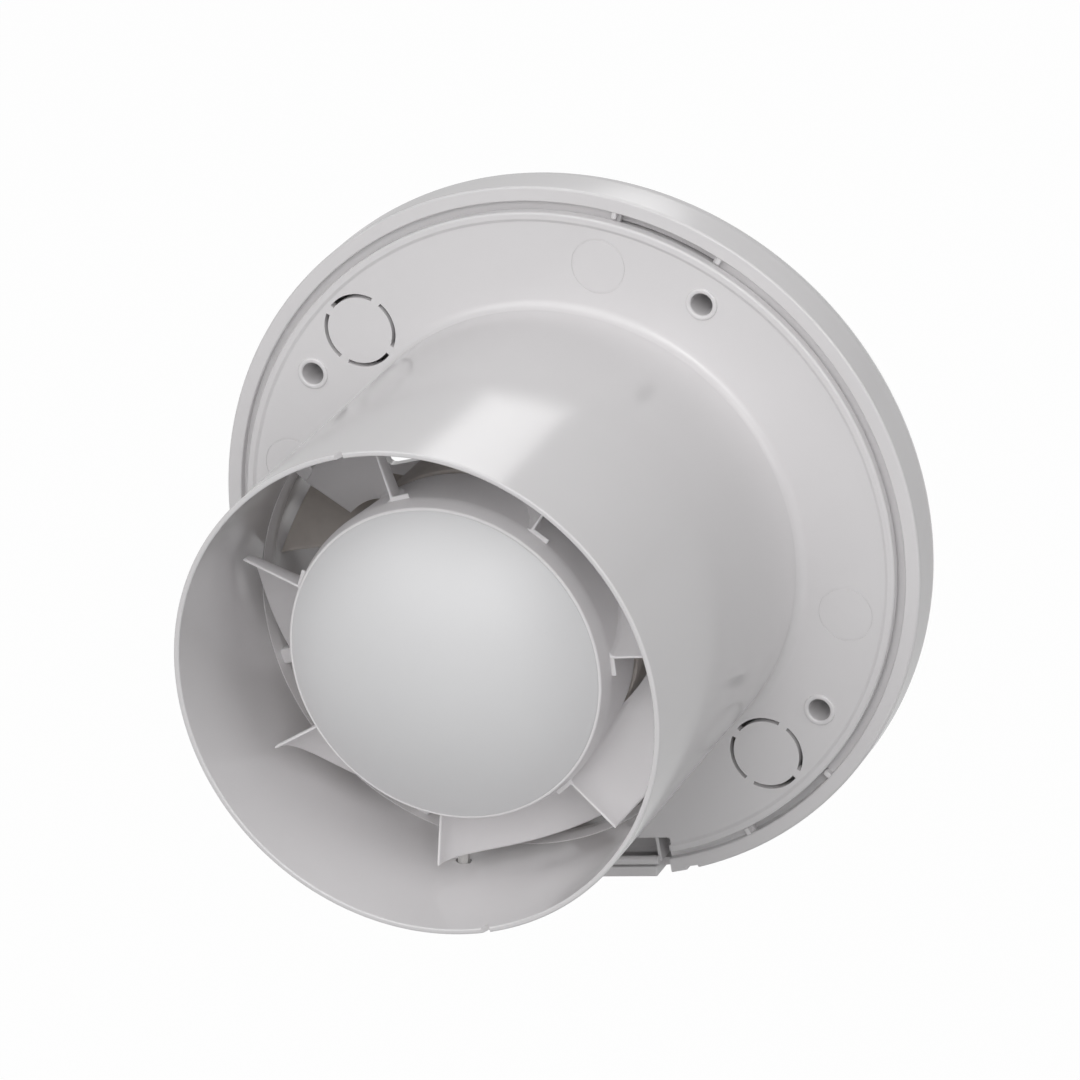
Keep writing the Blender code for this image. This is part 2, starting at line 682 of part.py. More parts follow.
def add_rim_notches(cuts):
    for angle in RIM_NOTCH_ANGLES:
        radial_rod(
            f"rim notch {angle:.0f}",
            RIM_NOTCH_WIDTH / 2,
            tube_inner(TUBE_LENGTH) - BEYOND,
            TUBE_RADIUS + BEYOND,
            angle,
            TUBE_LENGTH,
            4,
            cuts,
            squash=2 * RIM_NOTCH_DEPTH / RIM_NOTCH_WIDTH,
        )


def add_latch(cuts, late_joins):
    """A window in the plate's bottom edge, and the bar that the cover's tab bears on."""
    half = LATCH_WINDOW_WIDTH / 2
    span_block(
        "latch window",
        (LATCH_CENTRE - half, LATCH_CENTRE + half),
        (-RIM_WALL_FRONT - BEYOND, BEYOND),
        (-PLATE_RADIUS - BEYOND, -LATCH_WINDOW_TOP),
        cuts,
    )
    bar = rod(
        "latch bar",
        LATCH_BAR_RADIUS,
        (LATCH_WEB - LATCH_BAR_WIDTH) / 2,
        (LATCH_BAR_WIDTH - LATCH_WEB) / 2,
        SMALL_COUNT,
        late_joins,
    )
    bar.rotation_euler = (0.0, math.pi / 2, 0.0)
    bar.location = (LATCH_CENTRE, -LATCH_BAR_DEPTH, -LATCH_BAR_DROP)
    for side in (-1, 1):
        end = LATCH_CENTRE + side * LATCH_BAR_WIDTH / 2
        inner = end - side * LATCH_WEB
        span_block(
            f"latch web {side}",
            (min(end, inner), max(end, inner)),
            (-LATCH_WEB_FRONT, -LATCH_BAR_DEPTH),
            (-LATCH_BAR_DROP - LATCH_BAR_RADIUS / 2, -LATCH_WEB_TOP),
            late_joins,
        )


def fixing_offsets():
    return (-TERMINAL_PITCH / 2, TERMINAL_PITCH / 2)


def terminal_point(along, depth):
    """A point on the terminal block's centre line, measured along its length."""
    return terminal_shift(0.0, along, depth)


def terminal_shift(out, along, depth):
    """A point out from the block's centre line by one distance and along it by another."""
    turn = math.radians(TERMINAL_ANGLE)
    tangent = Vector((-math.sin(turn), 0.0, math.cos(turn)))
    return polar(TERMINAL_RADIUS_PLACE + out, TERMINAL_ANGLE, depth) + along * tangent


def add_terminal_pilots(cuts):
    for index, along in enumerate(fixing_offsets(), 1):
        place = terminal_point(along, 0.0)
        rod(
            f"terminal pilot {index}",
            FIXING_SCREW_RADIUS + GAP,
            PLATE_FRONT_Y - BEYOND,
            PLATE_FRONT_Y + FIXING_SCREW_BITE + GAP,
            SMALL_COUNT,
            cuts,
            centre=(place.x, place.z),
        )


# Guide vanes and pod


def pod_radius(depth):
    share = (depth - POD_FRONT) / (POD_SHOULDER - POD_FRONT)
    return POD_RADIUS - POD_DRAFT * (1.0 - share)


def vane_angle(depth, back):
    """Degrees behind the rear edge: the sweep grows with the square of the way forward."""
    way = (back - depth) / (back - VANE_FRONT)
    return -VANE_SWEEP * way * way


def vane_inner_radius(depth):
    """Sunk in the pod's wall beside the pod, and drawn outwards in front of it."""
    depths = (VANE_FRONT, POD_FRONT - OVERLAP, POD_FRONT + OVERLAP, POD_BACK)
    radii = (
        VANE_FRONT_INNER_RADIUS,
        pod_radius(POD_FRONT),
        pod_radius(POD_FRONT) - VANE_ROOT_DEPTH,
        pod_radius(POD_FRONT) - VANE_ROOT_DEPTH,
    )
    return float(np.interp(depth, depths, radii))


def vane_point(start_angle):
    def point(chord, span):
        back = VANE_BACK_AT_POD + (VANE_BACK_AT_TIP - VANE_BACK_AT_POD) * span
        depth = back + (VANE_FRONT - back) * chord
        inner = vane_inner_radius(depth)
        radius = inner + (VANE_TIP_RADIUS - inner) * span
        return polar(radius, start_angle + vane_angle(depth, back), depth)

    return point


def add_vane_lug(angle, joins):
    """A small lug from the vane's front corner out to the ring."""
    depth = VANE_FRONT + VANE_LUG_LENGTH / 2
    way = (VANE_BACK_AT_TIP - depth) / (VANE_BACK_AT_TIP - VANE_FRONT)
    turn = angle - VANE_SWEEP * way * way
    inner = VANE_TIP_RADIUS - OVERLAP
    outer = VANE_RING_INNER_RADIUS + OVERLAP / 2
    size = (outer - inner, VANE_LUG_LENGTH, VANE_LUG_WIDTH)
    place = polar((inner + outer) / 2, turn, depth)
    block(f"lug {angle:.1f}", size, place, joins, angle=turn)


def make_stator():
    inner = POD_INNER_RADIUS
    outline = [
        (pod_radius(POD_FRONT), POD_FRONT),
        (POD_RADIUS, POD_SHOULDER),
        (POD_BACK_RADIUS, POD_BACK),
        (inner, POD_BACK),
        (inner, BULKHEAD_BACK_Y),
        (BULKHEAD_HOLE_RADIUS, BULKHEAD_BACK_Y),
        (BULKHEAD_HOLE_RADIUS, POD_FRONT),
    ]
    stator = turned("guide_vane_stator", outline, FINE_COUNT, PARTS, WHITE)
    joins = helpers("stator joins")
    cuts = helpers("stator cuts")
    ring_outer = tube_inner(VANE_RING_BACK) - GAP
    ring_outline = [
        (VANE_RING_INNER_RADIUS, VANE_RING_BACK),
        (ring_outer, VANE_RING_BACK),
        (ring_outer, VANE_RING_FRONT),
        (VANE_RING_INNER_RADIUS, VANE_RING_FRONT),
    ]
    turned("vane ring", ring_outline, FINE_COUNT, joins)
    for index in range(VANE_COUNT):
        angle = VANE_FIRST_ANGLE - 360.0 * index / VANE_COUNT
        ruled_sheet(f"vane {index}", vane_point(angle), 9, 2, VANE_THICKNESS, joins)
        add_vane_lug(angle, joins)
        half_turn = math.degrees(FOOT_LENGTH / 2 / POD_RADIUS)
        foot_size = (FOOT_HEIGHT + OVERLAP, FOOT_THICKNESS, FOOT_LENGTH)
        foot_radius = POD_RADIUS + (FOOT_HEIGHT - OVERLAP) / 2
        foot_depth = VANE_BACK_AT_POD - FOOT_THICKNESS
        foot_place = polar(foot_radius, angle + half_turn, foot_depth)
        block(f"foot {index}", foot_size, foot_place, joins, angle=angle + half_turn)
    for angle in BOARD_SCREW_ANGLES:
        place = polar(BOARD_SCREW_CIRCLE, angle, 0.0)
        centre = (place.x, place.z)
        top = BOARD_FRONT - GAP
        bottom = POD_FRONT + BULKHEAD / 2
        rod(f"pillar {angle}", BOARD_PILLAR_RADIUS, bottom, top, SMALL_COUNT, joins, centre=centre)
        rod(
            f"pilot {angle}",
            BOARD_SCREW_RADIUS + GAP,
            BOARD_FRONT - BOARD_SCREW_LENGTH - GAP,
            BOARD_FRONT + BEYOND,
            SMALL_COUNT,
            cuts,
            centre=centre,
        )
    for angle in MOTOR_SCREW_ANGLES:
        place = polar(MOTOR_SCREW_CIRCLE, angle, 0.0)
        rod(
            f"rubber hole {angle}",
            mount_neck_radius() + GAP,
            POD_FRONT - BEYOND,
            BULKHEAD_BACK_Y + BEYOND,
            COARSE_COUNT,
            cuts,
            centre=(place.x, place.z),
        )
    radial_rod(
        "pod lead hole",
        LEAD_HOLE_RADIUS,
        inner - BEYOND,
        POD_RADIUS + BEYOND,
        LEAD_ANGLE,
        LEAD_DEPTH,
        SMALL_COUNT,
        cuts,
    )
    combine(stator, "UNION", joins)
    combine(stator, "DIFFERENCE", cuts)


def cap_arc(radius, height, top, limit, steps):
    """A shallow dome from its top on the axis out to the radius limit."""
    ball = (radius * radius + height * height) / (2 * height)
    centre = top - ball
    radii = [limit * i / steps for i in range(steps + 1)]
    return [(r, centre + math.sqrt(ball * ball - r * r)) for r in radii]


def make_dome():
    seat = POD_BACK + GAP
    edge = seat + DOME_EDGE
    top = edge + DOME_HEIGHT
    skirt_outer = POD_INNER_RADIUS - GAP
    skirt_inner = skirt_outer - DOME_SKIRT_WALL
    skirt_front = seat - DOME_SKIRT_LENGTH
    outline = [
        *cap_arc(DOME_RADIUS, DOME_HEIGHT, top, DOME_RADIUS, 6),
        (DOME_RADIUS, seat),
        (skirt_outer, seat),
        (skirt_outer, skirt_front),
        (skirt_inner, skirt_front),
        *cap_arc(DOME_RADIUS, DOME_HEIGHT, top - DOME_WALL, skirt_inner, 3)[::-1],
    ]
    turned("pod_dome_cap", outline, FINE_COUNT, PARTS, WHITE, closed=False)


# Impeller


def blade_point(start_angle):
    def point(chord, span):
        front = BLADE_FRONT_AT_HUB + (BLADE_FRONT_AT_TIP - BLADE_FRONT_AT_HUB) * span
        back = BLADE_BACK_AT_HUB + (BLADE_BACK_AT_TIP - BLADE_BACK_AT_HUB) * span
        depth = front + (back - front) * chord
        root = hub_outer(depth) - BLADE_ROOT_DEPTH
        tip = tube_inner(depth) - BLADE_TIP_GAP
        forward = (BLADE_BACK_AT_HUB - depth) / (BLADE_BACK_AT_HUB - BLADE_FRONT_AT_HUB)
        turn = BLADE_SWEEP * forward + BLADE_SWEEP_GROWTH * forward**2 + BLADE_LEAN * span
        return polar(root + (tip - root) * span, start_angle + turn, depth)

    return point


def make_impeller():
    hub_front = NOSE_SPLIT + GAP
    web_front = HUB_WEB_BACK - HUB_WEB
    outside = [hub_front + (DRUM_FRONT_Y - hub_front) * i / 4 for i in range(5)] + [HUB_BACK]
    behind = [HUB_BACK, DRUM_FRONT_Y, (DRUM_FRONT_Y + HUB_WEB_BACK) / 2, HUB_WEB_BACK]
    ahead = [web_front, hub_front]
    outline = [
        *[(hub_outer(y), y) for y in outside],
        *[(hub_outer(y, HUB_WALL), y) for y in behind],
        (SHAFT_HOLE_RADIUS, HUB_WEB_BACK),
        (SHAFT_HOLE_RADIUS, web_front),
        *[(hub_outer(y, HUB_WALL), y) for y in ahead],
    ]
    impeller = turned("impeller", outline, MEDIUM_COUNT, PARTS, IMPELLER_GREY)
    blades = helpers("impeller blades")
    for index in range(BLADE_COUNT):
        angle = BLADE_FIRST_ANGLE + 360.0 * index / BLADE_COUNT
        ruled_sheet(f"blade {index}", blade_point(angle), 6, 2, BLADE_THICKNESS, blades)
    combine(impeller, "UNION", blades)


def make_nose_cap():
    skirt_outer = hub_outer(NOSE_SPLIT, HUB_WALL) - GAP
    skirt_inner = skirt_outer - NOSE_SKIRT_WALL
    share = math.sqrt(1.0 - (skirt_inner / (HUB_RADIUS - HUB_WALL)) ** 2)
    skirt_meets = DRUM_FRONT_Y - (NOSE_LENGTH - HUB_WALL) * share
    steps = 4
    turns = [math.pi / 2 * i / steps for i in range(steps + 1)]
    outside = [NOSE_Y + (NOSE_SPLIT - NOSE_Y) * math.sin(t) ** 2 for t in turns]
    tip = NOSE_Y + HUB_WALL
    inside = [tip + (skirt_meets - tip) * math.sin(t) ** 2 for t in turns]
    outline = [
        *[(hub_outer(y), y) for y in outside],
        (skirt_outer, NOSE_SPLIT),
        (skirt_outer, NOSE_SPLIT + NOSE_SKIRT_LENGTH),
        (skirt_inner, NOSE_SPLIT + NOSE_SKIRT_LENGTH),
        *[(hub_outer(y, HUB_WALL), y) for y in inside[::-1]],
    ]
    turned("impeller_nose_cap", outline, MEDIUM_COUNT, PARTS, IMPELLER_GREY, closed=False)


def make_impeller_nut():
    back = HUB_WEB_BACK - HUB_WEB - GAP
    nut = rod("impeller_nut", NUT_RADIUS, back - NUT_HEIGHT, back, 6, PARTS, STEEL)
    cuts = helpers("nut cuts")
    start = back - NUT_HEIGHT - BEYOND
    rod("nut thread", SHAFT_HOLE_RADIUS, start, back + BEYOND, COARSE_COUNT, cuts)
    combine(nut, "DIFFERENCE", cuts)


# Motor


def ring(name, inner, outer, front, back, steps, material):
    outline = [(inner, front), (outer, front), (outer, back), (inner, back)]
    return turned(name, outline, steps, PARTS, material)


def make_shaft():
    rod("motor_shaft", SHAFT_RADIUS, SHAFT_FRONT, SHAFT_BACK, COARSE_COUNT, PARTS, STEEL)
    front = REAR_BEARING_FRONT + BEARING_WIDTH + GAP
    back = front + CIRCLIP_THICKNESS
    clip = ring("shaft_circlip", SHAFT_HOLE_RADIUS, CIRCLIP_RADIUS, front, back, COARSE_COUNT, STEEL)
    cuts = helpers("circlip cuts")
    span_block(
        "circlip mouth",
        (0.0, CIRCLIP_RADIUS + BEYOND),
        (front - BEYOND, back + BEYOND),
        (-CIRCLIP_MOUTH / 2, CIRCLIP_MOUTH / 2),
        cuts,
    )
    combine(clip, "DIFFERENCE", cuts)


def make_motor_base():
    step = REAR_BEARING_FRONT + BEARING_WIDTH + GAP
    outline = [
        (BEARING_TUBE_INNER, BEARING_TUBE_FRONT),
        (BEARING_TUBE_OUTER, BEARING_TUBE_FRONT),
        (BEARING_TUBE_OUTER, FLANGE_FRONT_Y),
        (FLANGE_RADIUS, FLANGE_FRONT_Y),
        (FLANGE_RADIUS, FLANGE_BACK_Y),
        (BEARING_STEP_HOLE, FLANGE_BACK_Y),
        (BEARING_STEP_HOLE, step),
        (BEARING_TUBE_INNER, step),
    ]
    base = turned("motor_base", outline, MEDIUM_COUNT, PARTS, ALUMINIUM)
    cuts = helpers("motor base cuts")
    for angle in MOTOR_SCREW_ANGLES:
        place = polar(MOTOR_SCREW_CIRCLE, angle, 0.0)
        rod(
            f"motor screw hole {angle}",
            MOTOR_SCREW_RADIUS + GAP,
            FLANGE_FRONT_Y - BEYOND,
            FLANGE_BACK_Y + BEYOND,
            SMALL_COUNT,
            cuts,
            centre=(place.x, place.z),
        )
    place = polar(WINDING_LEAD_CIRCLE, WINDING_LEAD_ANGLE, 0.0)
    rod(
        "winding lead hole",
        WINDING_LEAD_RADIUS + GAP,
        FLANGE_FRONT_Y - BEYOND,
        FLANGE_BACK_Y + BEYOND,
        SMALL_COUNT,
        cuts,
        centre=(place.x, place.z),
    )
    rod(
        "winding_lead",
        WINDING_LEAD_RADIUS,
        CORE_FRONT + CORE_LENGTH + GAP + WINDING_OVERHANG + GAP,
        BOARD_FRONT - GAP,
        SMALL_COUNT,
        PARTS,
        GREY,
        centre=(place.x, place.z),
    )
    combine(base, "DIFFERENCE", cuts)


def make_stator_core():
    back = CORE_FRONT + CORE_LENGTH
    inner = BEARING_TUBE_OUTER + GAP
    core = ring("stator_core", inner, CORE_RADIUS, CORE_FRONT, back, MEDIUM_COUNT, STEEL)
    slots = helpers("core slots")
    bars = helpers("winding bars")
    for index in range(SLOT_COUNT):
        angle = 360.0 * index / SLOT_COUNT
        slot_size = (CORE_RADIUS + BEYOND - SLOT_FLOOR, CORE_LENGTH + 2 * BEYOND, SLOT_WIDTH)
        slot_radius = (CORE_RADIUS + BEYOND + SLOT_FLOOR) / 2
        middle = (CORE_FRONT + back) / 2
        slot_place = polar(slot_radius, angle, middle)
        block(f"slot {index}", slot_size, slot_place, slots, angle=angle)
        bar_inner = WINDING_INNER + OVERLAP / 2
        bar_outer = WINDING_OUTER - OVERLAP / 2
        bar_size = (bar_outer - bar_inner, CORE_LENGTH + 2 * OVERLAP, SLOT_WIDTH - 2 * GAP)
        bar_place = polar((bar_inner + bar_outer) / 2, angle, middle)
        block(f"bar {index}", bar_size, bar_place, bars, angle=angle)
    combine(core, "DIFFERENCE", slots)
    ends = helpers("winding ends")
    rear = back + GAP
    outline = [
        (WINDING_INNER, rear),
        (WINDING_OUTER, rear),
        (WINDING_OUTER, rear + WINDING_OVERHANG),
        (WINDING_INNER, rear + WINDING_OVERHANG),
    ]
    turned("rear winding", outline, MEDIUM_COUNT, ends)
    front = CORE_FRONT - GAP
    winding = ring(
        "stator_winding",
        WINDING_INNER,
        WINDING_OUTER,
        front - WINDING_OVERHANG,
        front,
        MEDIUM_COUNT,
        COPPER,
    )
    combine(winding, "UNION", bars)
    combine(winding, "UNION", ends)


def make_rotor():
    outer = CUP_INNER + CUP_WALL
    floor_back = CUP_FRONT_Y + CUP_FLOOR
    outline = [
        (SHAFT_HOLE_RADIUS, CUP_FRONT_Y),
        (outer, CUP_FRONT_Y),
        (outer, CUP_BACK),
        (CUP_INNER, CUP_BACK),
        (CUP_INNER, floor_back),
        (SHAFT_HOLE_RADIUS, floor_back),
    ]
    turned("rotor_cup", outline, MEDIUM_COUNT, PARTS, STEEL)
    magnet_outer = MAGNET_INNER + MAGNET_THICKNESS
    back = MAGNET_FRONT + MAGNET_LENGTH
    ring("magnet_ring", MAGNET_INNER, magnet_outer, MAGNET_FRONT, back, MEDIUM_COUNT, MAGNET)


def make_bearing(name, front):
    """An outer race, an inner race, and the balls with the cage that spaces them."""
    back = front + BEARING_WIDTH
    outer_hole = BEARING_RADIUS - BEARING_RACE_WALL_OUTER
    inner_rim = SHAFT_HOLE_RADIUS + BEARING_RACE_WALL_INNER
    ring(name + "_outer_race", outer_hole, BEARING_RADIUS, front, back, COARSE_COUNT, STEEL)
    ring(name + "_inner_race", SHAFT_HOLE_RADIUS, inner_rim, front, back, COARSE_COUNT, STEEL)
    pitch = (outer_hole + inner_rim) / 2
    ball_radius = (outer_hole - inner_rim) / 2 - GAP
    middle = (front + back) / 2
    cage = ring(
        name + "_balls",
        pitch - CAGE_HEIGHT / 2,
        pitch + CAGE_HEIGHT / 2,
        middle - CAGE_WIDTH / 2,
        middle + CAGE_WIDTH / 2,
        COARSE_COUNT,
        STEEL,
    )
    balls = helpers(name + " ball shapes")
    for index in range(BALL_COUNT):
        shape = bmesh.new()
        bmesh.ops.create_uvsphere(shape, u_segments=6, v_segments=3, radius=ball_radius)
        ball = add_object(f"{name} ball {index}", finished_mesh("ball", shape), balls)
        ball.location = polar(pitch, 360.0 * (index + 0.5) / BALL_COUNT, middle)
    combine(cage, "UNION", balls)


def mount_neck_radius():
    return MOTOR_SCREW_RADIUS + GAP + MOUNT_NECK_WALL


def make_motor_mounts():
    """Rubber spools in the bulkhead, and the screws that hang the motor from them."""
    hole = MOTOR_SCREW_RADIUS + GAP
    neck = mount_neck_radius()
    front = POD_FRONT - GAP
    back = BULKHEAD_BACK_Y + GAP
    outline = [
        (hole, front - MOUNT_COLLAR),
        (MOUNT_COLLAR_RADIUS, front - MOUNT_COLLAR),
        (MOUNT_COLLAR_RADIUS, front),
        (neck, front),
        (neck, back),
        (MOUNT_COLLAR_RADIUS, back),
        (MOUNT_COLLAR_RADIUS, back + MOUNT_COLLAR),
        (hole, back + MOUNT_COLLAR),
    ]
    under_head = back + MOUNT_COLLAR + GAP
    top = under_head + MOTOR_SCREW_HEAD
    tip = FLANGE_FRONT_Y + GAP
    for index, angle in enumerate(MOTOR_SCREW_ANGLES, 1):
        place = polar(MOTOR_SCREW_CIRCLE, angle, 0.0)
        mount = turned(f"vibration_mount_{index}", outline, COARSE_COUNT, PARTS, RUBBER)
        mount.location = place
        screw_outline = [
            (0.0, top),
            (MOTOR_SCREW_HEAD_RADIUS, top),
            (MOTOR_SCREW_HEAD_RADIUS, under_head),
            (MOTOR_SCREW_RADIUS, under_head),
            (MOTOR_SCREW_RADIUS, tip),
            (0.0, tip),
        ]
        name = f"motor_screw_{index}"
        screw = turned(name, screw_outline, COARSE_COUNT, PARTS, STEEL, closed=False)
        screw.location = place


# Electronics


def make_board():
    board = rod(
        "driver_board", BOARD_RADIUS, BOARD_FRONT, BOARD_BACK_Y, MEDIUM_COUNT, PARTS, BOARD_GREEN
    )
    cuts = helpers("board cuts")
    seat = BOARD_BACK_Y + GAP
    tip = BOARD_FRONT - BOARD_SCREW_LENGTH
    outline = [
        (0.0, seat + BOARD_SCREW_HEAD),
        (BOARD_SCREW_HEAD_RADIUS, seat + BOARD_SCREW_HEAD),
        (BOARD_SCREW_HEAD_RADIUS, seat),
        (BOARD_SCREW_RADIUS, seat),
        (BOARD_SCREW_RADIUS, tip),
        (0.0, tip),
    ]
    for index, angle in enumerate(BOARD_SCREW_ANGLES, 1):
        place = polar(BOARD_SCREW_CIRCLE, angle, 0.0)
        rod(
            f"board hole {index}",
            BOARD_SCREW_RADIUS + GAP,
            BOARD_FRONT - BEYOND,
            BOARD_BACK_Y + BEYOND,
            SMALL_COUNT,
            cuts,
            centre=(place.x, place.z),
        )
        name = f"board_screw_{index}"
        screw = turned(name, outline, SMALL_COUNT, PARTS, STEEL, closed=False)
        screw.location = place
    combine(board, "DIFFERENCE", cuts)
    rod(
        "filter_capacitor",
        CAPACITOR_RADIUS,
        seat,
        seat + CAPACITOR_HEIGHT,
        COARSE_COUNT,
        PARTS,
        CAN,
        centre=CAPACITOR_PLACE,
    )
    for name, size, (x, z), material in (
        ("choke", CHOKE_SIZE, CHOKE_PLACE, COPPER),
        ("rectifier", RECTIFIER_SIZE, RECTIFIER_PLACE, DARK),
    ):
        block(name, size, (x, seat + size[1] / 2, z), PARTS, material)
    connector_depth = BOARD_FRONT - GAP - CONNECTOR_SIZE[1] / 2
    connector_place = polar(CONNECTOR_RADIUS_PLACE, LEAD_ANGLE, connector_depth)
    block("board_connector", CONNECTOR_SIZE, connector_place, PARTS, WHITE, angle=LEAD_ANGLE)


def smooth_turn(start, start_way, end, end_way, steps):
    """Points of a cubic curve that leaves one point and reaches another along given ways."""
    points = []
    for i in range(steps + 1):
        t = i / steps
        points.append(
            start * (1 - t) ** 3
            + (start + start_way) * 3 * t * (1 - t) ** 2
            + (end - end_way) * 3 * t * t * (1 - t)
            + end * t**3
        )
    return points


def make_motor_lead():
    """Out of the pod beside a vane, forward in the channel, then round to the terminals."""
    turn = math.radians(LEAD_ANGLE)
    outwards = Vector((math.cos(turn), 0.0, math.sin(turn)))
    forwards = Vector((0.0, -1.0, 0.0))
    plug_face = CONNECTOR_RADIUS_PLACE + CONNECTOR_SIZE[0] / 2 + GAP
    bend_start = LEAD_RUN_RADIUS - LEAD_BEND
    straight = [
        polar(plug_face + (bend_start - plug_face) * i / 6, LEAD_ANGLE, LEAD_DEPTH)
        for i in range(6)
    ]
    reach = LEAD_BEND * 0.55
    bend = smooth_turn(
        polar(bend_start, LEAD_ANGLE, LEAD_DEPTH),
        outwards * reach,
        polar(LEAD_RUN_RADIUS, LEAD_ANGLE, LEAD_DEPTH - LEAD_BEND),
        forwards * reach,
        5,
    )
    leave = PLATE_FRONT_Y - GAP
    run_start = LEAD_DEPTH - LEAD_BEND
    run = [
        polar(LEAD_RUN_RADIUS, LEAD_ANGLE, run_start + (leave - run_start) * i / 10)
        for i in range(1, 10)
    ]
    block_end = TERMINAL_SIZE[2] / 2 + GAP
    middle_y = (TERMINAL_BACK_Y + TERMINAL_FRONT_Y) / 2
    arrive = terminal_point(block_end, middle_y)
    tangent = (arrive - terminal_point(0.0, middle_y)).normalized()
    stub = 2 * LEAD_RADIUS
    sweep = smooth_turn(
        polar(LEAD_RUN_RADIUS, LEAD_ANGLE, leave),
        forwards * LEAD_EASE,
        arrive + tangent * stub,
        -tangent * LEAD_EASE,
        12,
    )
    points = straight + bend + run + sweep + [arrive]
    data = bpy.data.curves.new("motor_lead", "CURVE")
    data.dimensions = "3D"
    data.bevel_depth = LEAD_RADIUS
    data.bevel_resolution = 1
    data.use_fill_caps = True
    spline = data.splines.new("POLY")
    spline.points.add(len(points) - 1)
    for slot, point in zip(spline.points, points):
        slot.co = (*point, 1.0)
    lead = bpy.data.objects.new("motor_lead", data)
    data.materials.append(GREY)
    PARTS.objects.link(lead)


def make_terminal_block():
    size = TERMINAL_SIZE
    middle_y = (TERMINAL_BACK_Y + TERMINAL_FRONT_Y) / 2
    body = block(
        "terminal_block", size, terminal_point(0.0, middle_y), PARTS, NYLON, angle=TERMINAL_ANGLE
    )
    cuts = helpers("terminal cuts")
    well_floor = TERMINAL_FRONT_Y + TERMINAL_WELL_DEPTH
    screw_front = well_floor - GAP - TERMINAL_SCREW_HEIGHT
    for index, along in enumerate((-TERMINAL_PITCH, 0.0, TERMINAL_PITCH), 1):
        place = terminal_point(along, 0.0)
        centre = (place.x, place.z)
        start = TERMINAL_FRONT_Y - BEYOND
        rod(f"well {index}", TERMINAL_WELL_RADIUS, start, well_floor, SMALL_COUNT, cuts, centre=centre)
        entry = rod(
            f"wire entry {index}",
            WIRE_ENTRY_RADIUS,
            -WIRE_ENTRY_DEPTH / 2,
            WIRE_ENTRY_DEPTH / 2,
            SMALL_COUNT,
            cuts,
        )
        entry.rotation_euler = (0.0, math.radians(90.0 - TERMINAL_ANGLE), 0.0)
        out = size[0] / 2 + BEYOND - WIRE_ENTRY_DEPTH / 2
        entry.location = terminal_shift(out, along, well_floor + WIRE_ENTRY_RADIUS)
        screw = rod(
            f"terminal_screw_{index}",
            TERMINAL_SCREW_RADIUS,
            screw_front,
            well_floor - GAP,
            SMALL_COUNT,
            PARTS,
            BRASS,
            centre=centre,
        )
        slots = helpers(f"terminal screw slot {index}")
        slot_size = (2 * TERMINAL_SCREW_RADIUS + BEYOND, BEYOND, TERMINAL_SCREW_SLOT)
        slot_place = terminal_point(along, screw_front)
        block(f"slot {index} cut", slot_size, slot_place, slots, angle=TERMINAL_ANGLE)
        combine(screw, "DIFFERENCE", slots)
    head_seat = TERMINAL_FRONT_Y + FIXING_SCREW_HEAD + GAP
    tip = PLATE_FRONT_Y + FIXING_SCREW_BITE
    outline = [
        (0.0, tip),
        (FIXING_SCREW_RADIUS, tip),
        (FIXING_SCREW_RADIUS, head_seat - GAP),
        (FIXING_SCREW_HEAD_RADIUS, head_seat - GAP),
        (FIXING_SCREW_HEAD_RADIUS, head_seat - GAP - FIXING_SCREW_HEAD),
        (0.0, head_seat - GAP - FIXING_SCREW_HEAD),
    ]
    for index, along in enumerate(fixing_offsets(), 1):
        place = terminal_point(along, 0.0)
        centre = (place.x, place.z)
        hole = FIXING_SCREW_RADIUS + GAP
        end = TERMINAL_BACK_Y + BEYOND
        rod(f"fixing hole {index}", hole, head_seat - BEYOND, end, SMALL_COUNT, cuts, centre=centre)
        sink = FIXING_SCREW_HEAD_RADIUS + GAP
        start = TERMINAL_FRONT_Y - BEYOND
        rod(f"fixing sink {index}", sink, start, head_seat, SMALL_COUNT, cuts, centre=centre)
        name = f"terminal_fixing_screw_{index}"
        screw = turned(name, outline, SMALL_COUNT, PARTS, STEEL, closed=False)
        screw.location = place
    combine(body, "DIFFERENCE", cuts)


# Cover and panel


def make_cover():
    lip_y = -COVER_FRONT
    outline = [
        (COVER_INNER_RADIUS, COVER_BACK_Y),
        (COVER_RADIUS - COVER_EDGE, COVER_BACK_Y),
        (COVER_RADIUS, COVER_BACK_Y - COVER_EDGE),
        *cover_curve(0.0, 5),
        (COVER_LIP_RADIUS - COVER_EDGE, lip_y + COVER_EDGE),
        (COVER_LIP_RADIUS - COVER_EDGE, lip_y + COVER_WALL),
        *cover_curve(COVER_WALL, 3)[::-1],
    ]
    cover = turned("front_cover", outline, FINE_COUNT, PARTS, WHITE)
    joins = helpers("cover joins")
    cuts = helpers("cover cuts")
    add_cover_ribs(joins)
    add_gap_ledge(joins, cuts)
    add_release_tab(joins, cuts)
    socket_outer = PEG_RADIUS + GAP + SOCKET_WALL
    root = COVER_FRONT - COVER_WALL
    for angle in PEG_ANGLES:
        place = polar(PEG_CIRCLE_RADIUS, angle, 0.0)
        centre = (place.x, place.z)
        name = f"socket {angle:.0f}"
        rod(name, socket_outer, -root, -SOCKET_REACH, COARSE_COUNT, joins, centre=centre)
        rod(
            name + " hole",
            PEG_RADIUS + GAP,
            lip_y - BEYOND,
            -SOCKET_REACH + BEYOND,
            COARSE_COUNT,
            cuts,
            centre=centre,
        )
    combine(cover, "UNION", joins)
    combine(cover, "DIFFERENCE", cuts)


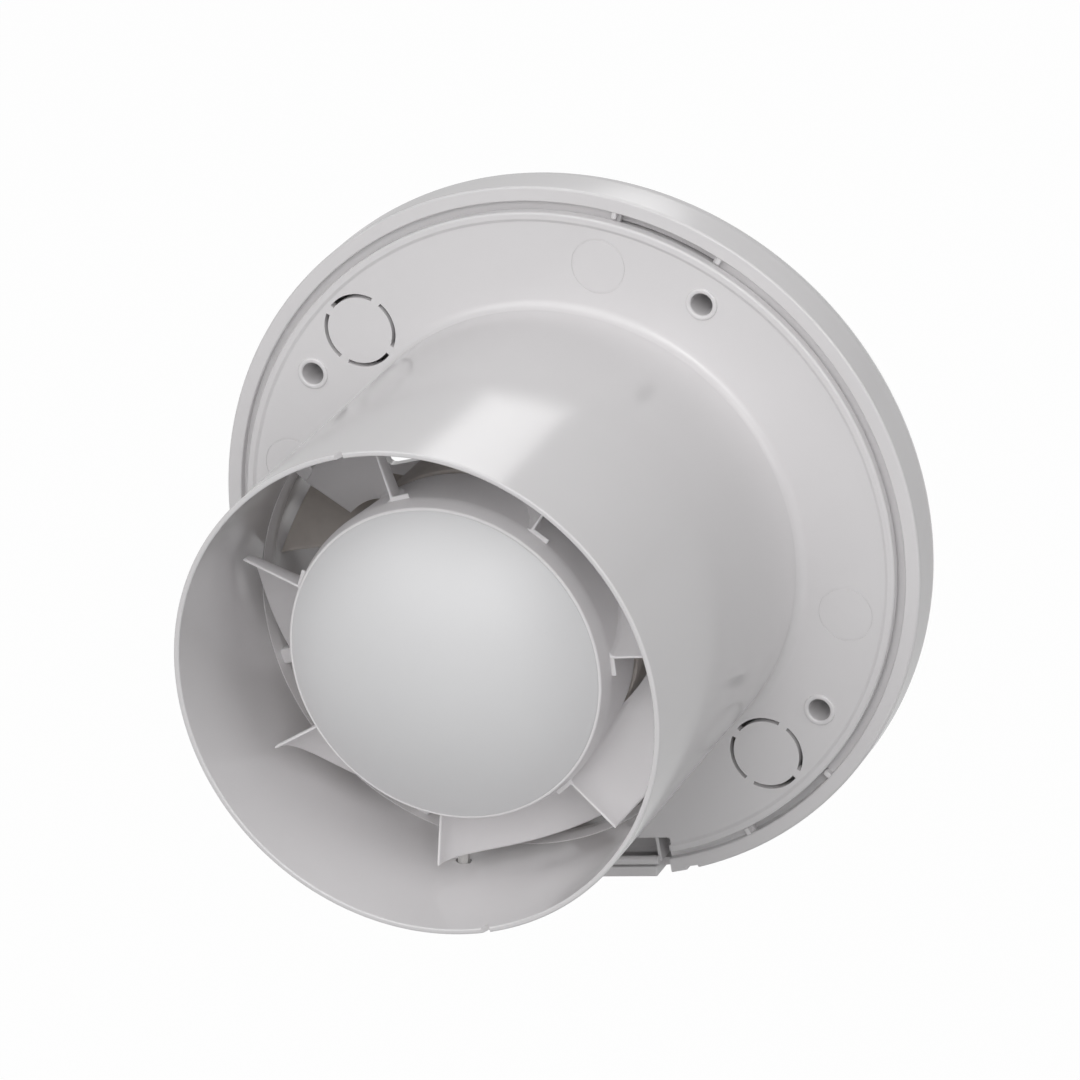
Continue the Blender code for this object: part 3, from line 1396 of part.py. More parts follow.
def add_cover_ribs(joins):
    """Pairs of small ribs inside the ring centre the cover on the plate's edge."""
    inner = PLATE_RADIUS + GAP
    outer = COVER_INNER_RADIUS + OVERLAP
    for pair in RIB_PAIR_ANGLES:
        for side in (-1, 1):
            angle = pair + side * RIB_HALF_SPREAD
            size = (outer - inner, RIB_FRONT - COVER_BACK - COVER_EDGE, RIB_WIDTH)
            depth = -(RIB_FRONT + COVER_BACK + COVER_EDGE) / 2
            place = polar((inner + outer) / 2, angle, depth)
            block(f"rib {angle:.1f}", size, place, joins, angle=angle)


def add_gap_ledge(joins, cuts):
    """A ledge that floors the gap round the plate, open between the two ribs of each pair."""
    back = COVER_BACK_Y - LEDGE_DEPTH
    front = back - LEDGE_WALL
    inner = PLATE_RADIUS + GAP
    outer = COVER_INNER_RADIUS + OVERLAP
    outline = [(inner, back), (outer, back), (outer, front), (inner, front)]
    turned("gap ledge", outline, FINE_COUNT, joins)
    middle = (inner + COVER_INNER_RADIUS) / 2
    size = (COVER_INNER_RADIUS - inner + OVERLAP, LEDGE_WALL + OVERLAP, LEDGE_WINDOW_CUT)
    for pair in RIB_PAIR_ANGLES:
        for step in range(-2, 3):
            angle = pair + step * LEDGE_WINDOW_STEP
            place = polar(middle, angle, (back + front) / 2)
            block(f"ledge window {angle:.1f}", size, place, cuts, angle=angle)


def add_release_tab(joins, cuts):
    """A flat tab between two slits in the skirt, over the latch bar."""
    half = TAB_WIDTH / 2
    inside = TAB_OUTSIDE - TAB_THICKNESS
    span_block(
        "release tab",
        (LATCH_CENTRE - half, LATCH_CENTRE + half),
        (-COVER_SKIRT_FRONT - OVERLAP, COVER_BACK_Y),
        (-TAB_OUTSIDE, -inside),
        joins,
    )
    span_block(
        "tab hollow",
        (LATCH_CENTRE - half - TAB_SLIT, LATCH_CENTRE + half + TAB_SLIT),
        (-COVER_SKIRT_FRONT, BEYOND),
        (-inside, -LATCH_WEB_TOP),
        cuts,
    )
    for side in (-1, 1):
        near = LATCH_CENTRE + side * half
        far = near + side * TAB_SLIT
        span_block(
            f"tab slit {side}",
            (min(near, far), max(near, far)),
            (-TAB_SLIT_FRONT, BEYOND),
            (-TAB_OUTSIDE - BEYOND, -inside + BEYOND),
            cuts,
        )
    span_block(
        "pry notch",
        (PRY_NOTCH_CENTRE - PRY_NOTCH_WIDTH / 2, PRY_NOTCH_CENTRE + PRY_NOTCH_WIDTH / 2),
        (-PRY_NOTCH_FRONT, BEYOND),
        (-COVER_RADIUS - BEYOND, -COVER_RADIUS + PRY_NOTCH_DEPTH),
        cuts,
    )


def make_panel():
    """A shallow crowned disc with a turned-back rim, on four stepped pegs."""
    rim_outer = PANEL_RADIUS
    rim_inner = PANEL_RADIUS - PANEL_RIM
    back = -PANEL_BACK
    floor = back - PANEL_RETURN
    face = floor - PANEL_WALL
    crown = face - PANEL_CROWN
    steps = 3
    radii = [rim_inner * i / steps for i in range(steps + 1)]
    sink = [(r, crown + PANEL_CROWN * (r / rim_inner) ** 2) for r in radii]
    outline = [
        *sink,
        (rim_outer - PANEL_RIM / 3, face + PANEL_WALL / 3),
        (rim_outer, floor),
        (rim_outer - PANEL_RIM / 4, back),
        (rim_inner, back),
        *[(r, y + PANEL_WALL) for r, y in sink[::-1]],
    ]
    panel = turned("front_panel", outline, FINE_COUNT, PARTS, WHITE, closed=False)
    joins = helpers("panel joins")
    for angle in PEG_ANGLES:
        place = polar(PEG_CIRCLE_RADIUS, angle, 0.0)
        centre = (place.x, place.z)
        name = f"peg {angle:.0f}"
        root = floor - PANEL_WALL / 2
        shoulder = -COVER_FRONT - GAP
        rod(name, PEG_RADIUS, root, -PEG_TIP, COARSE_COUNT, joins, centre=centre)
        rod(name + " foot", PEG_SHOULDER_RADIUS, root, shoulder, COARSE_COUNT, joins, centre=centre)
    cuts = helpers("panel cuts")
    add_panel_slots(cuts)
    combine(panel, "UNION", joins)
    combine(panel, "DIFFERENCE", cuts)


def add_panel_slots(cuts):
    """Level rows of slots inside the panel's border, with two upright struts across them."""
    reach = PANEL_RADIUS - PANEL_SLOT_BORDER
    near = PANEL_STRUT_PLACE - PANEL_STRUT / 2
    far = PANEL_STRUT_PLACE + PANEL_STRUT / 2
    front = -PANEL_BACK - PANEL_RETURN - PANEL_WALL - PANEL_CROWN - BEYOND
    half = PANEL_SLOT_HEIGHT / 2
    rows = int((reach - half - PANEL_SLOT_END) / PANEL_SLOT_PITCH + 0.5)
    for row in range(-rows, rows):
        middle = (row + 0.5) * PANEL_SLOT_PITCH
        end = math.sqrt(reach**2 - (abs(middle) + half) ** 2)
        spans = [(-near, near)]
        if end > far + BEYOND:
            spans += [(-end, -far), (far, end)]
        for start, stop in spans:
            name = f"panel slot {row} {start:.3f}"
            span_block(name, (start, stop), (front, -PANEL_BACK), (middle - half, middle + half), cuts)


clear_scene()
SCENE_ROOT = bpy.context.scene.collection
PARTS = new_collection("exhaust fan", SCENE_ROOT)
CUTTERS = new_collection("construction shapes", SCENE_ROOT, hidden=True)
WHITE = new_material("white plastic", (0.78, 0.77, 0.76), 0.35)
DARK = new_material("dark plastic", (0.03, 0.03, 0.03), 0.4)
IMPELLER_GREY = new_material("grey plastic", (0.6, 0.56, 0.52), 0.45)
GREY = new_material("grey lead", (0.3, 0.3, 0.3), 0.5)
NYLON = new_material("nylon", (0.7, 0.68, 0.6), 0.5)
RUBBER = new_material("rubber", (0.02, 0.02, 0.02), 0.8)
STEEL = new_material("steel", (0.6, 0.6, 0.6), 0.3, 1.0)
ALUMINIUM = new_material("cast aluminium", (0.7, 0.7, 0.72), 0.45, 1.0)
BRASS = new_material("brass", (0.75, 0.6, 0.3), 0.35, 1.0)
COPPER = new_material("copper wire", (0.7, 0.35, 0.18), 0.4, 1.0)
MAGNET = new_material("ferrite magnet", (0.1, 0.1, 0.11), 0.6)
BOARD_GREEN = new_material("circuit board", (0.02, 0.18, 0.06), 0.5)
CAN = new_material("capacitor sleeve", (0.05, 0.06, 0.12), 0.4)

make_rear_housing()
make_stator()
make_dome()
make_impeller()
make_nose_cap()
make_impeller_nut()
make_shaft()
make_motor_base()
make_stator_core()
make_rotor()
make_bearing("front_bearing", FRONT_BEARING_FRONT)
make_bearing("rear_bearing", REAR_BEARING_FRONT)
make_motor_mounts()
make_board()
make_motor_lead()
make_terminal_block()
make_cover()
make_panel()
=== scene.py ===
"""A dressed model of a round duct exhaust fan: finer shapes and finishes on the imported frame.

Sizes in this file are millimetres unless a name says otherwise, and become metres when a mesh
is made. The duct axis is Y, the wall plane is Y 0, and +Y points down the duct. An angle round
the axis runs from +X to +Z.
"""

import math

import bmesh
import bpy
import numpy as np
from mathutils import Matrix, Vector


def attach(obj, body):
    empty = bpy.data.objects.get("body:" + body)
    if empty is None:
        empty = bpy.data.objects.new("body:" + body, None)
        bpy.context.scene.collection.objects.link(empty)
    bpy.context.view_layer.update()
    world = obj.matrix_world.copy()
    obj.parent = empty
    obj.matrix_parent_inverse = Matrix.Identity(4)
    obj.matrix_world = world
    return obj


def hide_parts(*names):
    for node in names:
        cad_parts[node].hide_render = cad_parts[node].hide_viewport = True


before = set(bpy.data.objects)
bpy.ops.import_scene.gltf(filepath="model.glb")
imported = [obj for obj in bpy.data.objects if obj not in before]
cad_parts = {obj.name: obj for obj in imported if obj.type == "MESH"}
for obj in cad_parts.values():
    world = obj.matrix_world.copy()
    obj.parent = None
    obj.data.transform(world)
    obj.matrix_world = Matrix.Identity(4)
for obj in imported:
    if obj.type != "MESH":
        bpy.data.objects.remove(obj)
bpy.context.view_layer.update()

bl_info = {
    "name": "Duct exhaust fan",
    "version": (1, 0, 0),
    "blender": (4, 5, 0),
    "location": "View3D > Sidebar > Fan",
    "description": "Builds the finer shapes and finishes of a round duct exhaust fan",
    "category": "Object",
}

MM = 0.001
TURNS = 256  # steps round the axis on the large pieces
ROUND = 5  # steps round a small edge
SHARP = math.radians(38)  # a fold stronger than this stays crisp

# The duct tube and its bell
TUBE_WALL = 1.1
TUBE_FILLET = 2.0
BELL_START = 10.5
BELL_LENGTH = 8.5
BELL_FLARE = 5.8
RIM_NOTCHES = (90.0, 270.0)

# The wall plate
PLATE_BACK = -0.4
PLATE_FRONT = -2.6
BEAD_WIDTH = 1.5
RIM_WALL_RADIUS = 69.2
RIM_WALL = 1.4
RIM_WALL_FRONT = -11.0
SCREW_CIRCLE = 62.0
SCREW_ANGLES = (45.0, 135.0, 225.0, 315.0)
SCREW_HOLE_RADIUS = 2.3
SCREW_BOSS_RADIUS = 4.0
SCREW_BOSS_FRONT = -9.0
SCREW_RING_RADIUS = 3.3  # the raised ring round the hole, at the back
SCREW_RING_BACK = -0.02
KNOCKOUT_CIRCLE = 59.5
KNOCKOUT_ANGLES = (59.0, 240.0)
KNOCKOUT_RADIUS = 7.8
KNOCKOUT_SLOT = 0.8
KNOCKOUT_BRIDGE = 1.9
PIN_MARKS = ((60.5, 25.0), (60.5, 114.0), (60.5, 204.0), (60.5, 294.0))
PIN_MARK_RADIUS = 5.6
PIN_MARK_GROOVE = 0.15  # half its width, and its depth

# The latch at the bottom edge
LATCH_TURN = 7.22  # how far the latch stands round from the lowest point
LATCH_WINDOW = 23.5
LATCH_WINDOW_TOP = -65.8
LATCH_BAR = 17.4
LATCH_BAR_RADIUS = 0.95
LATCH_BAR_Z = -71.5
LATCH_BAR_Y = -1.95
LATCH_WEB = 1.5
LATCH_WEB_TOP = -64.5

# The lead's channel
LEAD_ANGLE = -70.5
LEAD_CHANNEL = (50.35, 53.65)
LEAD_CHANNEL_WALL = 1.3
LEAD_CHANNEL_END = 53.9
LEAD_CHANNEL_ROOT = 49.5  # where its walls start inside the tube's wall
LEAD_CHANNEL_FRONT = -1.6
LEAD_DEPTH = 51.4
LEAD_HOLE_RADIUS = 1.6

# The terminal block's place on the front of the wall plate
TERMINAL_ANGLE = -97.0
TERMINAL_CIRCLE = 55.68

# The front cover
RING_WIDTH = 3.1
COVER_BACK = -1.5
SKIRT_FRONT = -9.5
COVER_FRONT = -22.0
COVER_LIP_RADIUS = 55.0
COVER_WALL = 2.0
RIB_PAIRS = (4.4, 124.4, 244.4)
RIB_SPREAD = 9.3
TAB_WIDTH = 14.2
TAB_SLIT = 3.3
LEDGE = (-4.4, -3.3)
LEDGE_LOW = (-5.9, -4.9)  # between the two ribs of each pair
LEDGE_UNDER = 0.6  # how far it reaches in under the edge of the plate
LEDGE_ARCS = ((12.8, 116.0), (132.8, 236.0), (252.8, 269.0), (286.6, 356.0))

# The panel
PANEL_BACK = -31.0
PEG_CIRCLE = 59.2
PEG_ANGLES = (45.0, 135.0, 225.0, 315.0)
PANEL_SLOT_PITCH = 10.3
PANEL_SLOT_HEIGHT = 6.6
PANEL_SLOT_REACH = 54.0
PANEL_SLOT_CORNER = 1.4
PANEL_STRUTS = (18.5, 21.5)

# The motor pod
POD_FRONT = 45.5
POD_SHOULDER = 62.4
POD_BACK = 66.0
POD_FRONT_RADIUS = 31.9
POD_BACK_RADIUS = 32.4
POD_INNER_RADIUS = 30.3
BULKHEAD = 2.0
BULKHEAD_HOLE = 14.5
DOME_SEAT = 66.3
DOME_WALL = 1.5
DOME_SPIGOT = (28.8, 30.0)  # the ring under the cap that goes into the pod
DOME_SPIGOT_LENGTH = 3.8
MOTOR_SCREW_ANGLES = (90.0, 210.0, 330.0)
MOTOR_SCREW_CIRCLE = 20.0
MOUNT_HOLE_RADIUS = 3.4
BOARD_PILLAR_ANGLES = (30.0, 150.0, 270.0)
BOARD_PILLAR_CIRCLE = 26.5
BOARD_BACK = 53.7

# Guide vanes
VANE_FIRST_ANGLE = 85.85
VANE_TIP_RADIUS = 46.05
VANE_FRONT = 37.6
VANE_BACK_AT_POD = 62.2
VANE_BACK_AT_TIP = 61.3
VANE_FRONT_INNER = 35.0
VANE_RING = (48.1, 48.54)
VANE_RING_DEPTHS = (36.4, 41.0)
VANE_RING_REAR = 48.86  # its rear edge tapers out to the tube's wall
VANE_LUG_ANGLE = 36.9  # back from the vane's rear edge

# Impeller
HUB_BACK = 43.7
HUB_DRUM_FRONT = 23.4
HUB_NOSE = 31.9  # from the straight drum to the tip of the nose
HUB_WALL = 1.5
NOSE_SPLIT = 4.0
WEB_BACK = 15.0
BLADE_FIRST_ANGLE = 31.5
BLADE_LEAN = -10.0
BLADE_FRONT_AT_HUB = 18.5
BLADE_FRONT_AT_TIP = 21.0
BLADE_BACK_AT_HUB = 35.0
BLADE_BACK_AT_TIP = 34.4
BLADE_TIP_GAP = 1.2

# The stage: each lamp's place and size are in metres and its power in watts
LAMPS = (
    ("main softbox", (0.0, 1.5, 1.6), 3.0, 30.0),
    ("camera softbox", (-0.89, 1.89, 0.7), 1.5, 12.0),
    ("side softbox", (-2.1, 0.5, 0.5), 1.5, 9.0),
    ("front softbox", (0.0, -1.5, 1.6), 1.5, 12.0),
)
FLOOR_HALF = 6.0
FLOOR_HEIGHT = -0.17
FLOOR_WHITE = 0.98  # how much of the floor that the camera sees is plain white
GLOSS_LEVEL = 0.6  # how bright the background is in gloss
SPREAD_LEVEL = 0.1  # how much plain light comes from all round
CAMERA_PLACE = (-0.516819, 1.049930, 0.331372)
CAMERA_TURN = (73.60212, 16.17163, -158.25151)
CAMERA_LENS = 200.0
CAMERA_SENSOR = 36.0


# Sizes and colours that a user would change


def length_property(name, text, millimetres):
    return bpy.props.FloatProperty(
        name=name,
        description=text,
        default=millimetres * MM,
        min=0.0,
        unit="LENGTH",
        precision=4,
    )


def colour_property(name, text, code):
    return bpy.props.FloatVectorProperty(
        name=name,
        description=text,
        default=srgb(code),
        size=3,
        min=0.0,
        max=1.0,
        subtype="COLOR_GAMMA",
    )


def srgb(code):
    """The three channels of a colour written as six hex digits, still in sRGB."""
    return tuple(int(code[i : i + 2], 16) / 255 for i in (0, 2, 4))


def linear(channels):
    """Turns three sRGB channels to the linear colour that a shader reads."""
    c = np.asarray(channels, dtype=float)
    c = np.where(c <= 0.04045, c / 12.92, ((c + 0.055) / 1.055) ** 2.4)
    return (*map(float, c), 1.0)


class FanSizes(bpy.types.PropertyGroup):
    """Main sizes of the fan"""

    tube_radius: length_property("Tube radius", "Outside of the duct tube", 50.0)
    tube_length: length_property("Tube length", "From the wall plane to the tube's rim", 82.0)
    plate_radius: length_property("Plate radius", "Outside of the wall plate", 70.1)
    cover_radius: length_property("Cover radius", "Outside of the front cover", 74.98)
    panel_radius: length_property("Panel radius", "Outside of the front panel", 63.48)
    pod_radius: length_property("Pod radius", "Motor pod at its shoulder", 33.2)
    dome_radius: length_property("Dome radius", "Edge of the pod's domed cap", 31.9)
    dome_height: length_property("Dome height", "How far the cap stands up", 10.7)
    vane_thickness: length_property("Vane thickness", "Wall of a guide vane", 1.1)
    vane_count: bpy.props.IntProperty(
        name="Guide vanes", description="Number of guide vanes", default=7, min=3, max=15
    )
    vane_sweep: bpy.props.FloatProperty(
        name="Vane sweep",
        description="Turn of a guide vane from its rear edge to its front edge",
        default=math.radians(40.5),
        subtype="ANGLE",
    )
    hub_radius: length_property("Hub radius", "Impeller hub at its drum", 31.98)
    blade_thickness: length_property("Blade thickness", "Thickest place of a blade", 1.9)
    blade_count: bpy.props.IntProperty(
        name="Blades", description="Number of impeller blades", default=6, min=3, max=15
    )


class FanColours(bpy.types.PropertyGroup):
    """Colours of the fan and its stage"""

    shell: colour_property("Shell", "Gloss moulded plastic outside", "E6E4E5")
    cap: colour_property("Cap", "Satin moulded plastic of the pod's cap", "EAEAEB")
    # Painted light: the vanes and pod take a lighter copy of the cap's white, standing in for light
    # that the lamps do not bring onto the vane faces inside the tube.
    vanes: colour_property("Vanes", "Satin moulded plastic of vanes and pod", "F5F3F4")
    # Partly painted shade: the impeller's warm grey is darker and warmer than white plastic, for
    # the warm shade deep inside the duct.
    impeller: colour_property("Impeller", "Filled plastic of the impeller", "DAD3CD")
    board: colour_property("Board", "Lacquer of the circuit board", "1E5B34")
    lead: colour_property("Lead", "Sheath of the motor lead", "E2E0DE")
    floor: colour_property("Floor", "Studio floor", "C6C6C6")


# Shapes


def edge_steps(count=ROUND):
    return np.linspace(0.0, math.pi / 2, count + 1)


def rounded(corners):
    """A closed outline with rounded corners.

    Each corner is (radius, depth, rounding). A rounded corner is the arc that touches both of
    its sides: its centre lies on the line that halves the corner, at rounding / sin(half the
    corner's angle), and the arc runs between the two touching points.
    """
    points = []
    for index, (r, y, size) in enumerate(corners):
        here = np.array([r, y])
        before = np.array(corners[index - 1][:2]) - here
        after = np.array(corners[(index + 1) % len(corners)][:2]) - here
        if size <= 0.0:
            points.append(here[None])
            continue
        before = before / np.linalg.norm(before)
        after = after / np.linalg.norm(after)
        half = math.acos(np.clip(before @ after, -1.0, 1.0)) / 2
        middle = (before + after) / np.linalg.norm(before + after)
        centre = here + middle * size / math.sin(half)
        start = here + before * size / math.tan(half) - centre
        end = here + after * size / math.tan(half) - centre
        swing = math.atan2(start[0] * end[1] - start[1] * end[0], start @ end)
        count = max(2, int(round(ROUND * abs(swing) / (math.pi / 2))))
        turn = np.linspace(0.0, swing, count + 1)[:, None]
        across = np.array([-start[1], start[0]])
        points.append(centre + start * np.cos(turn) + across * np.sin(turn))
    return np.concatenate(points)


def grid_faces(rows, columns, wrap_rows, wrap_columns):
    """Corner numbers of the four-sided faces between neighbours in a grid of points."""
    i = np.arange(rows if wrap_rows else rows - 1)[:, None]
    j = np.arange(columns if wrap_columns else columns - 1)[None]
    next_i = (i + 1) % rows
    next_j = (j + 1) % columns
    return np.stack(
        np.broadcast_arrays(
            i * columns + j, i * columns + next_j, next_i * columns + next_j, next_i * columns + j
        ),
        axis=-1,
    ).reshape(-1, 4)


def turned(outline, turns=TURNS, closed=True):
    """A turned solid: (r cos t, y, r sin t) for each outline point (r, y) and angle t.

    A closed outline stands clear of the axis. An open one starts and ends on the axis, where
    its points meet at a pole.
    """
    t = np.linspace(0.0, 2 * math.pi, turns, endpoint=False)[:, None]
    r, y = outline[:, 0][None], outline[:, 1][None]
    points = np.stack([r * np.cos(t), y + 0 * t, r * np.sin(t)], axis=-1)
    return points.reshape(-1, 3), grid_faces(turns, len(outline), True, closed)


def turned_at(place, outline, turns, closed=True):
    """A solid turned about the axis and then moved to its place."""
    points, faces = turned(outline, turns, closed)
    return points + place, faces


def round_section(radius, steps=48):
    """A circle: (radius cos t, radius sin t)."""
    t = np.linspace(0.0, 2 * math.pi, steps, endpoint=False)
    return np.stack([radius * np.cos(t), radius * np.sin(t)], axis=-1)


def block_section(width, height, edge=0.25):
    """A rectangle whose four corners are quarter circles of the edge's size."""
    t = np.linspace(0.0, math.pi / 2, 4)
    quarters = np.arange(4) * math.pi / 2
    turn = (quarters[:, None] + t[None]).ravel()
    sign_x = np.repeat([1, -1, -1, 1], len(t))
    sign_y = np.repeat([1, 1, -1, -1], len(t))
    x = sign_x * (width / 2 - edge) + edge * np.cos(turn)
    y = sign_y * (height / 2 - edge) + edge * np.sin(turn)
    return np.stack([x, y], axis=-1)


def capped(points):
    """A closed shell of rows of points, with a flat face on its first and its last row."""
    rows, columns = points.shape[:2]
    faces = grid_faces(rows, columns, False, True).tolist()
    first = list(range(columns))
    faces += [first[::-1], [(rows - 1) * columns + k for k in first]]
    return points.reshape(-1, 3), faces


def bar(section, start, end, across, edge=0.25):
    """A section carried in a straight line, with rounded ends.

    Near each end the section is drawn in by edge (1 - sin t) at the distance
    edge (1 - cos t) from the end, for t from 0 to a quarter turn.
    """
    start, end, across = (np.asarray(v, dtype=float) for v in (start, end, across))
    along = (end - start) / np.linalg.norm(end - start)
    across = across - along * (across @ along)
    across = across / np.linalg.norm(across)
    up = np.cross(along, across)
    t = edge_steps(3) if edge > 0 else np.array([0.0])
    inset = edge * (1 - np.sin(t))
    way = edge * (1 - np.cos(t))
    length = np.linalg.norm(end - start)
    inset = np.concatenate([inset, inset[::-1]])[:, None, None]
    way = np.concatenate([way, length - way[::-1]])[:, None, None]
    half = np.abs(section).max(axis=0)
    shape = section[None] * (1 - inset / half)
    points = start + shape[..., :1] * across + shape[..., 1:] * up + way * along
    return capped(points)


def polar(radius, angle, depth):
    turn = math.radians(angle)
    return np.array([radius * math.cos(turn), depth, radius * math.sin(turn)])


def outward(angle):
    return polar(1.0, angle, 0.0)


def span_block(xs, ys, zs, edge=0.25):
    """A rounded box between the given limits, carried along Y."""
    x, z = (xs[0] + xs[1]) / 2, (zs[0] + zs[1]) / 2
    section = block_section(xs[1] - xs[0], zs[1] - zs[0], max(edge, 0.01))
    return bar(section, (x, ys[0], z), (x, ys[1], z), (1, 0, 0), edge)


def at_latch(shell):
    """A shape drawn at the lowest point, turned round the axis to the latch's place."""
    points, faces = shell
    turn = math.radians(LATCH_TURN)
    x, y, z = points.T
    x, z = x * math.cos(turn) - z * math.sin(turn), x * math.sin(turn) + z * math.cos(turn)
    return np.stack([x, y, z], axis=-1), faces


def rod(radius, front, back, x, z, edge=0.2, steps=48):
    return bar(round_section(radius, steps), (x, front, z), (x, back, z), (1, 0, 0), edge)


def lead_hole(near, far):
    """The round hole that the motor lead goes through, from one radius to another."""
    ends = [polar(radius, LEAD_ANGLE, LEAD_DEPTH) for radius in (near, far)]
    return bar(round_section(LEAD_HOLE_RADIUS, 32), *ends, (0, 1, 0), 0.0)


def thin_wall(camber, half_thickness, chord, span):
    """A closed thin solid round a curved sheet, such as a vane or a blade.

    camber(c, s) is the sheet, with c along the chord and s along the span, both 0 to 1. Each
    face stands half_thickness(c, s) off the sheet along its normal, the cross product of the
    sheet's two slopes. The half thickness is 0 at both ends of the chord and of the span, so
    the two faces meet there.
    """
    c, s = np.meshgrid(chord, span)
    step = 1e-4
    along = camber(c + step, s) - camber(c - step, s)
    outwards = camber(c, s + step) - camber(c, s - step)
    normal = np.cross(along, outwards)
    normal = normal / np.linalg.norm(normal, axis=-1, keepdims=True)
    sheet = camber(c, s)
    lift = normal * half_thickness(c, s)[..., None]
    loop = np.concatenate([sheet + lift, (sheet - lift)[:, -2:0:-1]], axis=1)
    rows, columns = loop.shape[:2]
    return loop.reshape(-1, 3), grid_faces(rows, columns, False, True)


def rounded_ways(length, edge, middle):
    """Ways from 0 to 1, dense at both ends: edge (1 - cos t) from each end, even between."""
    t = edge_steps(5)
    near = edge * (1 - np.cos(t)) / length
    even = np.linspace(near[-1], 1 - near[-1], middle + 1)[1:-1]
    return np.concatenate([near, even, 1 - near[::-1]])


def round_off(distance, edge):
    """1 away from an end, and the height of a quarter circle within edge of it."""
    x = np.clip(distance / edge, 0.0, 1.0)
    return np.sqrt(np.clip(1 - (1 - x) ** 2, 0.0, 1.0))


def hub_outer(depth, radius, inset=0.0):
    """A drum, then half an ellipse: radius sqrt(1 - ((drum's front - depth) / length) squared)."""
    share = (HUB_DRUM_FRONT - np.asarray(depth, dtype=float)) / (HUB_NOSE - inset)
    share = np.maximum(share, 0.0)
    return (radius - inset) * np.sqrt(np.clip(1 - share**2, 0.0, 1.0))


def pod_outer(depth, radius):
    """Straight from the pod's front to its shoulder, then in to its rear edge."""
    return np.interp(
        depth,
        (POD_FRONT, POD_SHOULDER, POD_BACK),
        (POD_FRONT_RADIUS, radius, POD_BACK_RADIUS),
    )


# Making a piece from its shells


def joined(shells):
    """All points of the shells, and their faces renumbered to match."""
    faces, start = [], 0
    for points, corners in shells:
        corners = corners.tolist() if isinstance(corners, np.ndarray) else corners
        faces += [[start + k for k in face] for face in corners]
        start += len(points)
    return np.concatenate([points for points, _ in shells]), faces


def shell_mesh(name, shells):
    """A mesh in metres, its doubles merged and each closed shell turned to face outwards."""
    points, faces = joined(shells)
    mesh = bpy.data.meshes.new(name)
    mesh.from_pydata((points * MM).tolist(), [], faces)
    work = bmesh.new()
    work.from_mesh(mesh)
    bmesh.ops.remove_doubles(work, verts=work.verts, dist=2e-7)
    bmesh.ops.recalc_face_normals(work, faces=work.faces)
    work.to_mesh(mesh)
    work.free()
    return mesh


def cut_away(piece, shells):
    """Cuts the shells out of a piece and keeps only the result."""
    tool = bpy.data.objects.new("cutting shape", shell_mesh("cutting shape", shells))
    bpy.context.collection.objects.link(tool)
    cut = piece.modifiers.new("Cut", "BOOLEAN")
    cut.operation = "DIFFERENCE"
    cut.solver = "EXACT"
    cut.use_self = True
    cut.object = tool
    bpy.context.view_layer.update()
    shape = piece.evaluated_get(bpy.context.evaluated_depsgraph_get())
    result = bpy.data.meshes.new_from_object(shape)
    if len(result.polygons) < 10:
        raise RuntimeError(f"cutting {piece.name} left nothing")
    piece.modifiers.clear()
    old = piece.data
    piece.data = result
    bpy.data.meshes.remove(old)
    bpy.data.objects.remove(tool)


def make_piece(name, shells, material, body, replaces, cuts=None, extra=None):
    """Makes one piece of the fan: shells, cuts through them, and shells added after."""
    piece = bpy.data.objects.new(name, shell_mesh(name, shells))
    bpy.context.collection.objects.link(piece)
    if cuts:
        cut_away(piece, cuts)
    if extra:
        added = shell_mesh("added shells", extra)
        work = bmesh.new()
        work.from_mesh(piece.data)
        work.from_mesh(added)
        work.to_mesh(piece.data)
        work.free()
        bpy.data.meshes.remove(added)
    piece.data.name = name
    piece.data.shade_smooth()
    piece.data.set_sharp_from_angle(angle=SHARP)
    weigh = piece.modifiers.new("Even shading", "WEIGHTED_NORMAL")
    weigh.keep_sharp = True
    piece.data.materials.clear()
    piece.data.materials.append(material)
    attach(piece, body)
    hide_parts(*replaces)
    return piece


def dress(nodes, material, edge=0.0):
    """Gives CAD nodes a finish, and their edges a small round where they show one."""
    for name in nodes:
        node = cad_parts[name]
        node.data.materials.clear()
        node.data.materials.append(material)
        if edge > 0.0:
            weld = node.modifiers.new("Join", "WELD")
            weld.merge_threshold = 1e-6
            bevel = node.modifiers.new("Edge", "BEVEL")
            bevel.width = edge * MM
            bevel.segments = 2
            bevel.limit_method = "ANGLE"
            bevel.angle_limit = math.radians(40)
            bevel.harden_normals = True


# Materials


def add_node(tree, kind, settings=None, inputs=None):
    """Adds a node, sets its settings, and fills each input with a value or a link."""
    node = tree.nodes.new(kind)
    for key, value in (settings or {}).items():
        setattr(node, key, value)
    for key, value in (inputs or {}).items():
        if isinstance(value, bpy.types.NodeSocket):
            tree.links.new(value, node.inputs[key])
        else:
            node.inputs[key].default_value = value
    return node


def per_mm(size):
    """Texture scale that gives features of this size in millimetres."""
    return 1.0 / (size * MM)


def start_material(name):
    material = bpy.data.materials.new(name)
    material.use_nodes = True
    tree = material.node_tree
    tree.nodes.clear()
    place = add_node(tree, "ShaderNodeTexCoord").outputs["Object"]
    return material, tree, place


def finish_material(material, tree, colour, roughness, normal, fixed):
    """The shader and the output. fixed holds the shader's own constants."""
    shader = add_node(
        tree,
        "ShaderNodeBsdfPrincipled",
        inputs={"Base Color": colour, "Roughness": roughness, "Normal": normal, **fixed},
    )
    add_node(tree, "ShaderNodeOutputMaterial", inputs={"Surface": shader.outputs["BSDF"]})
    return material


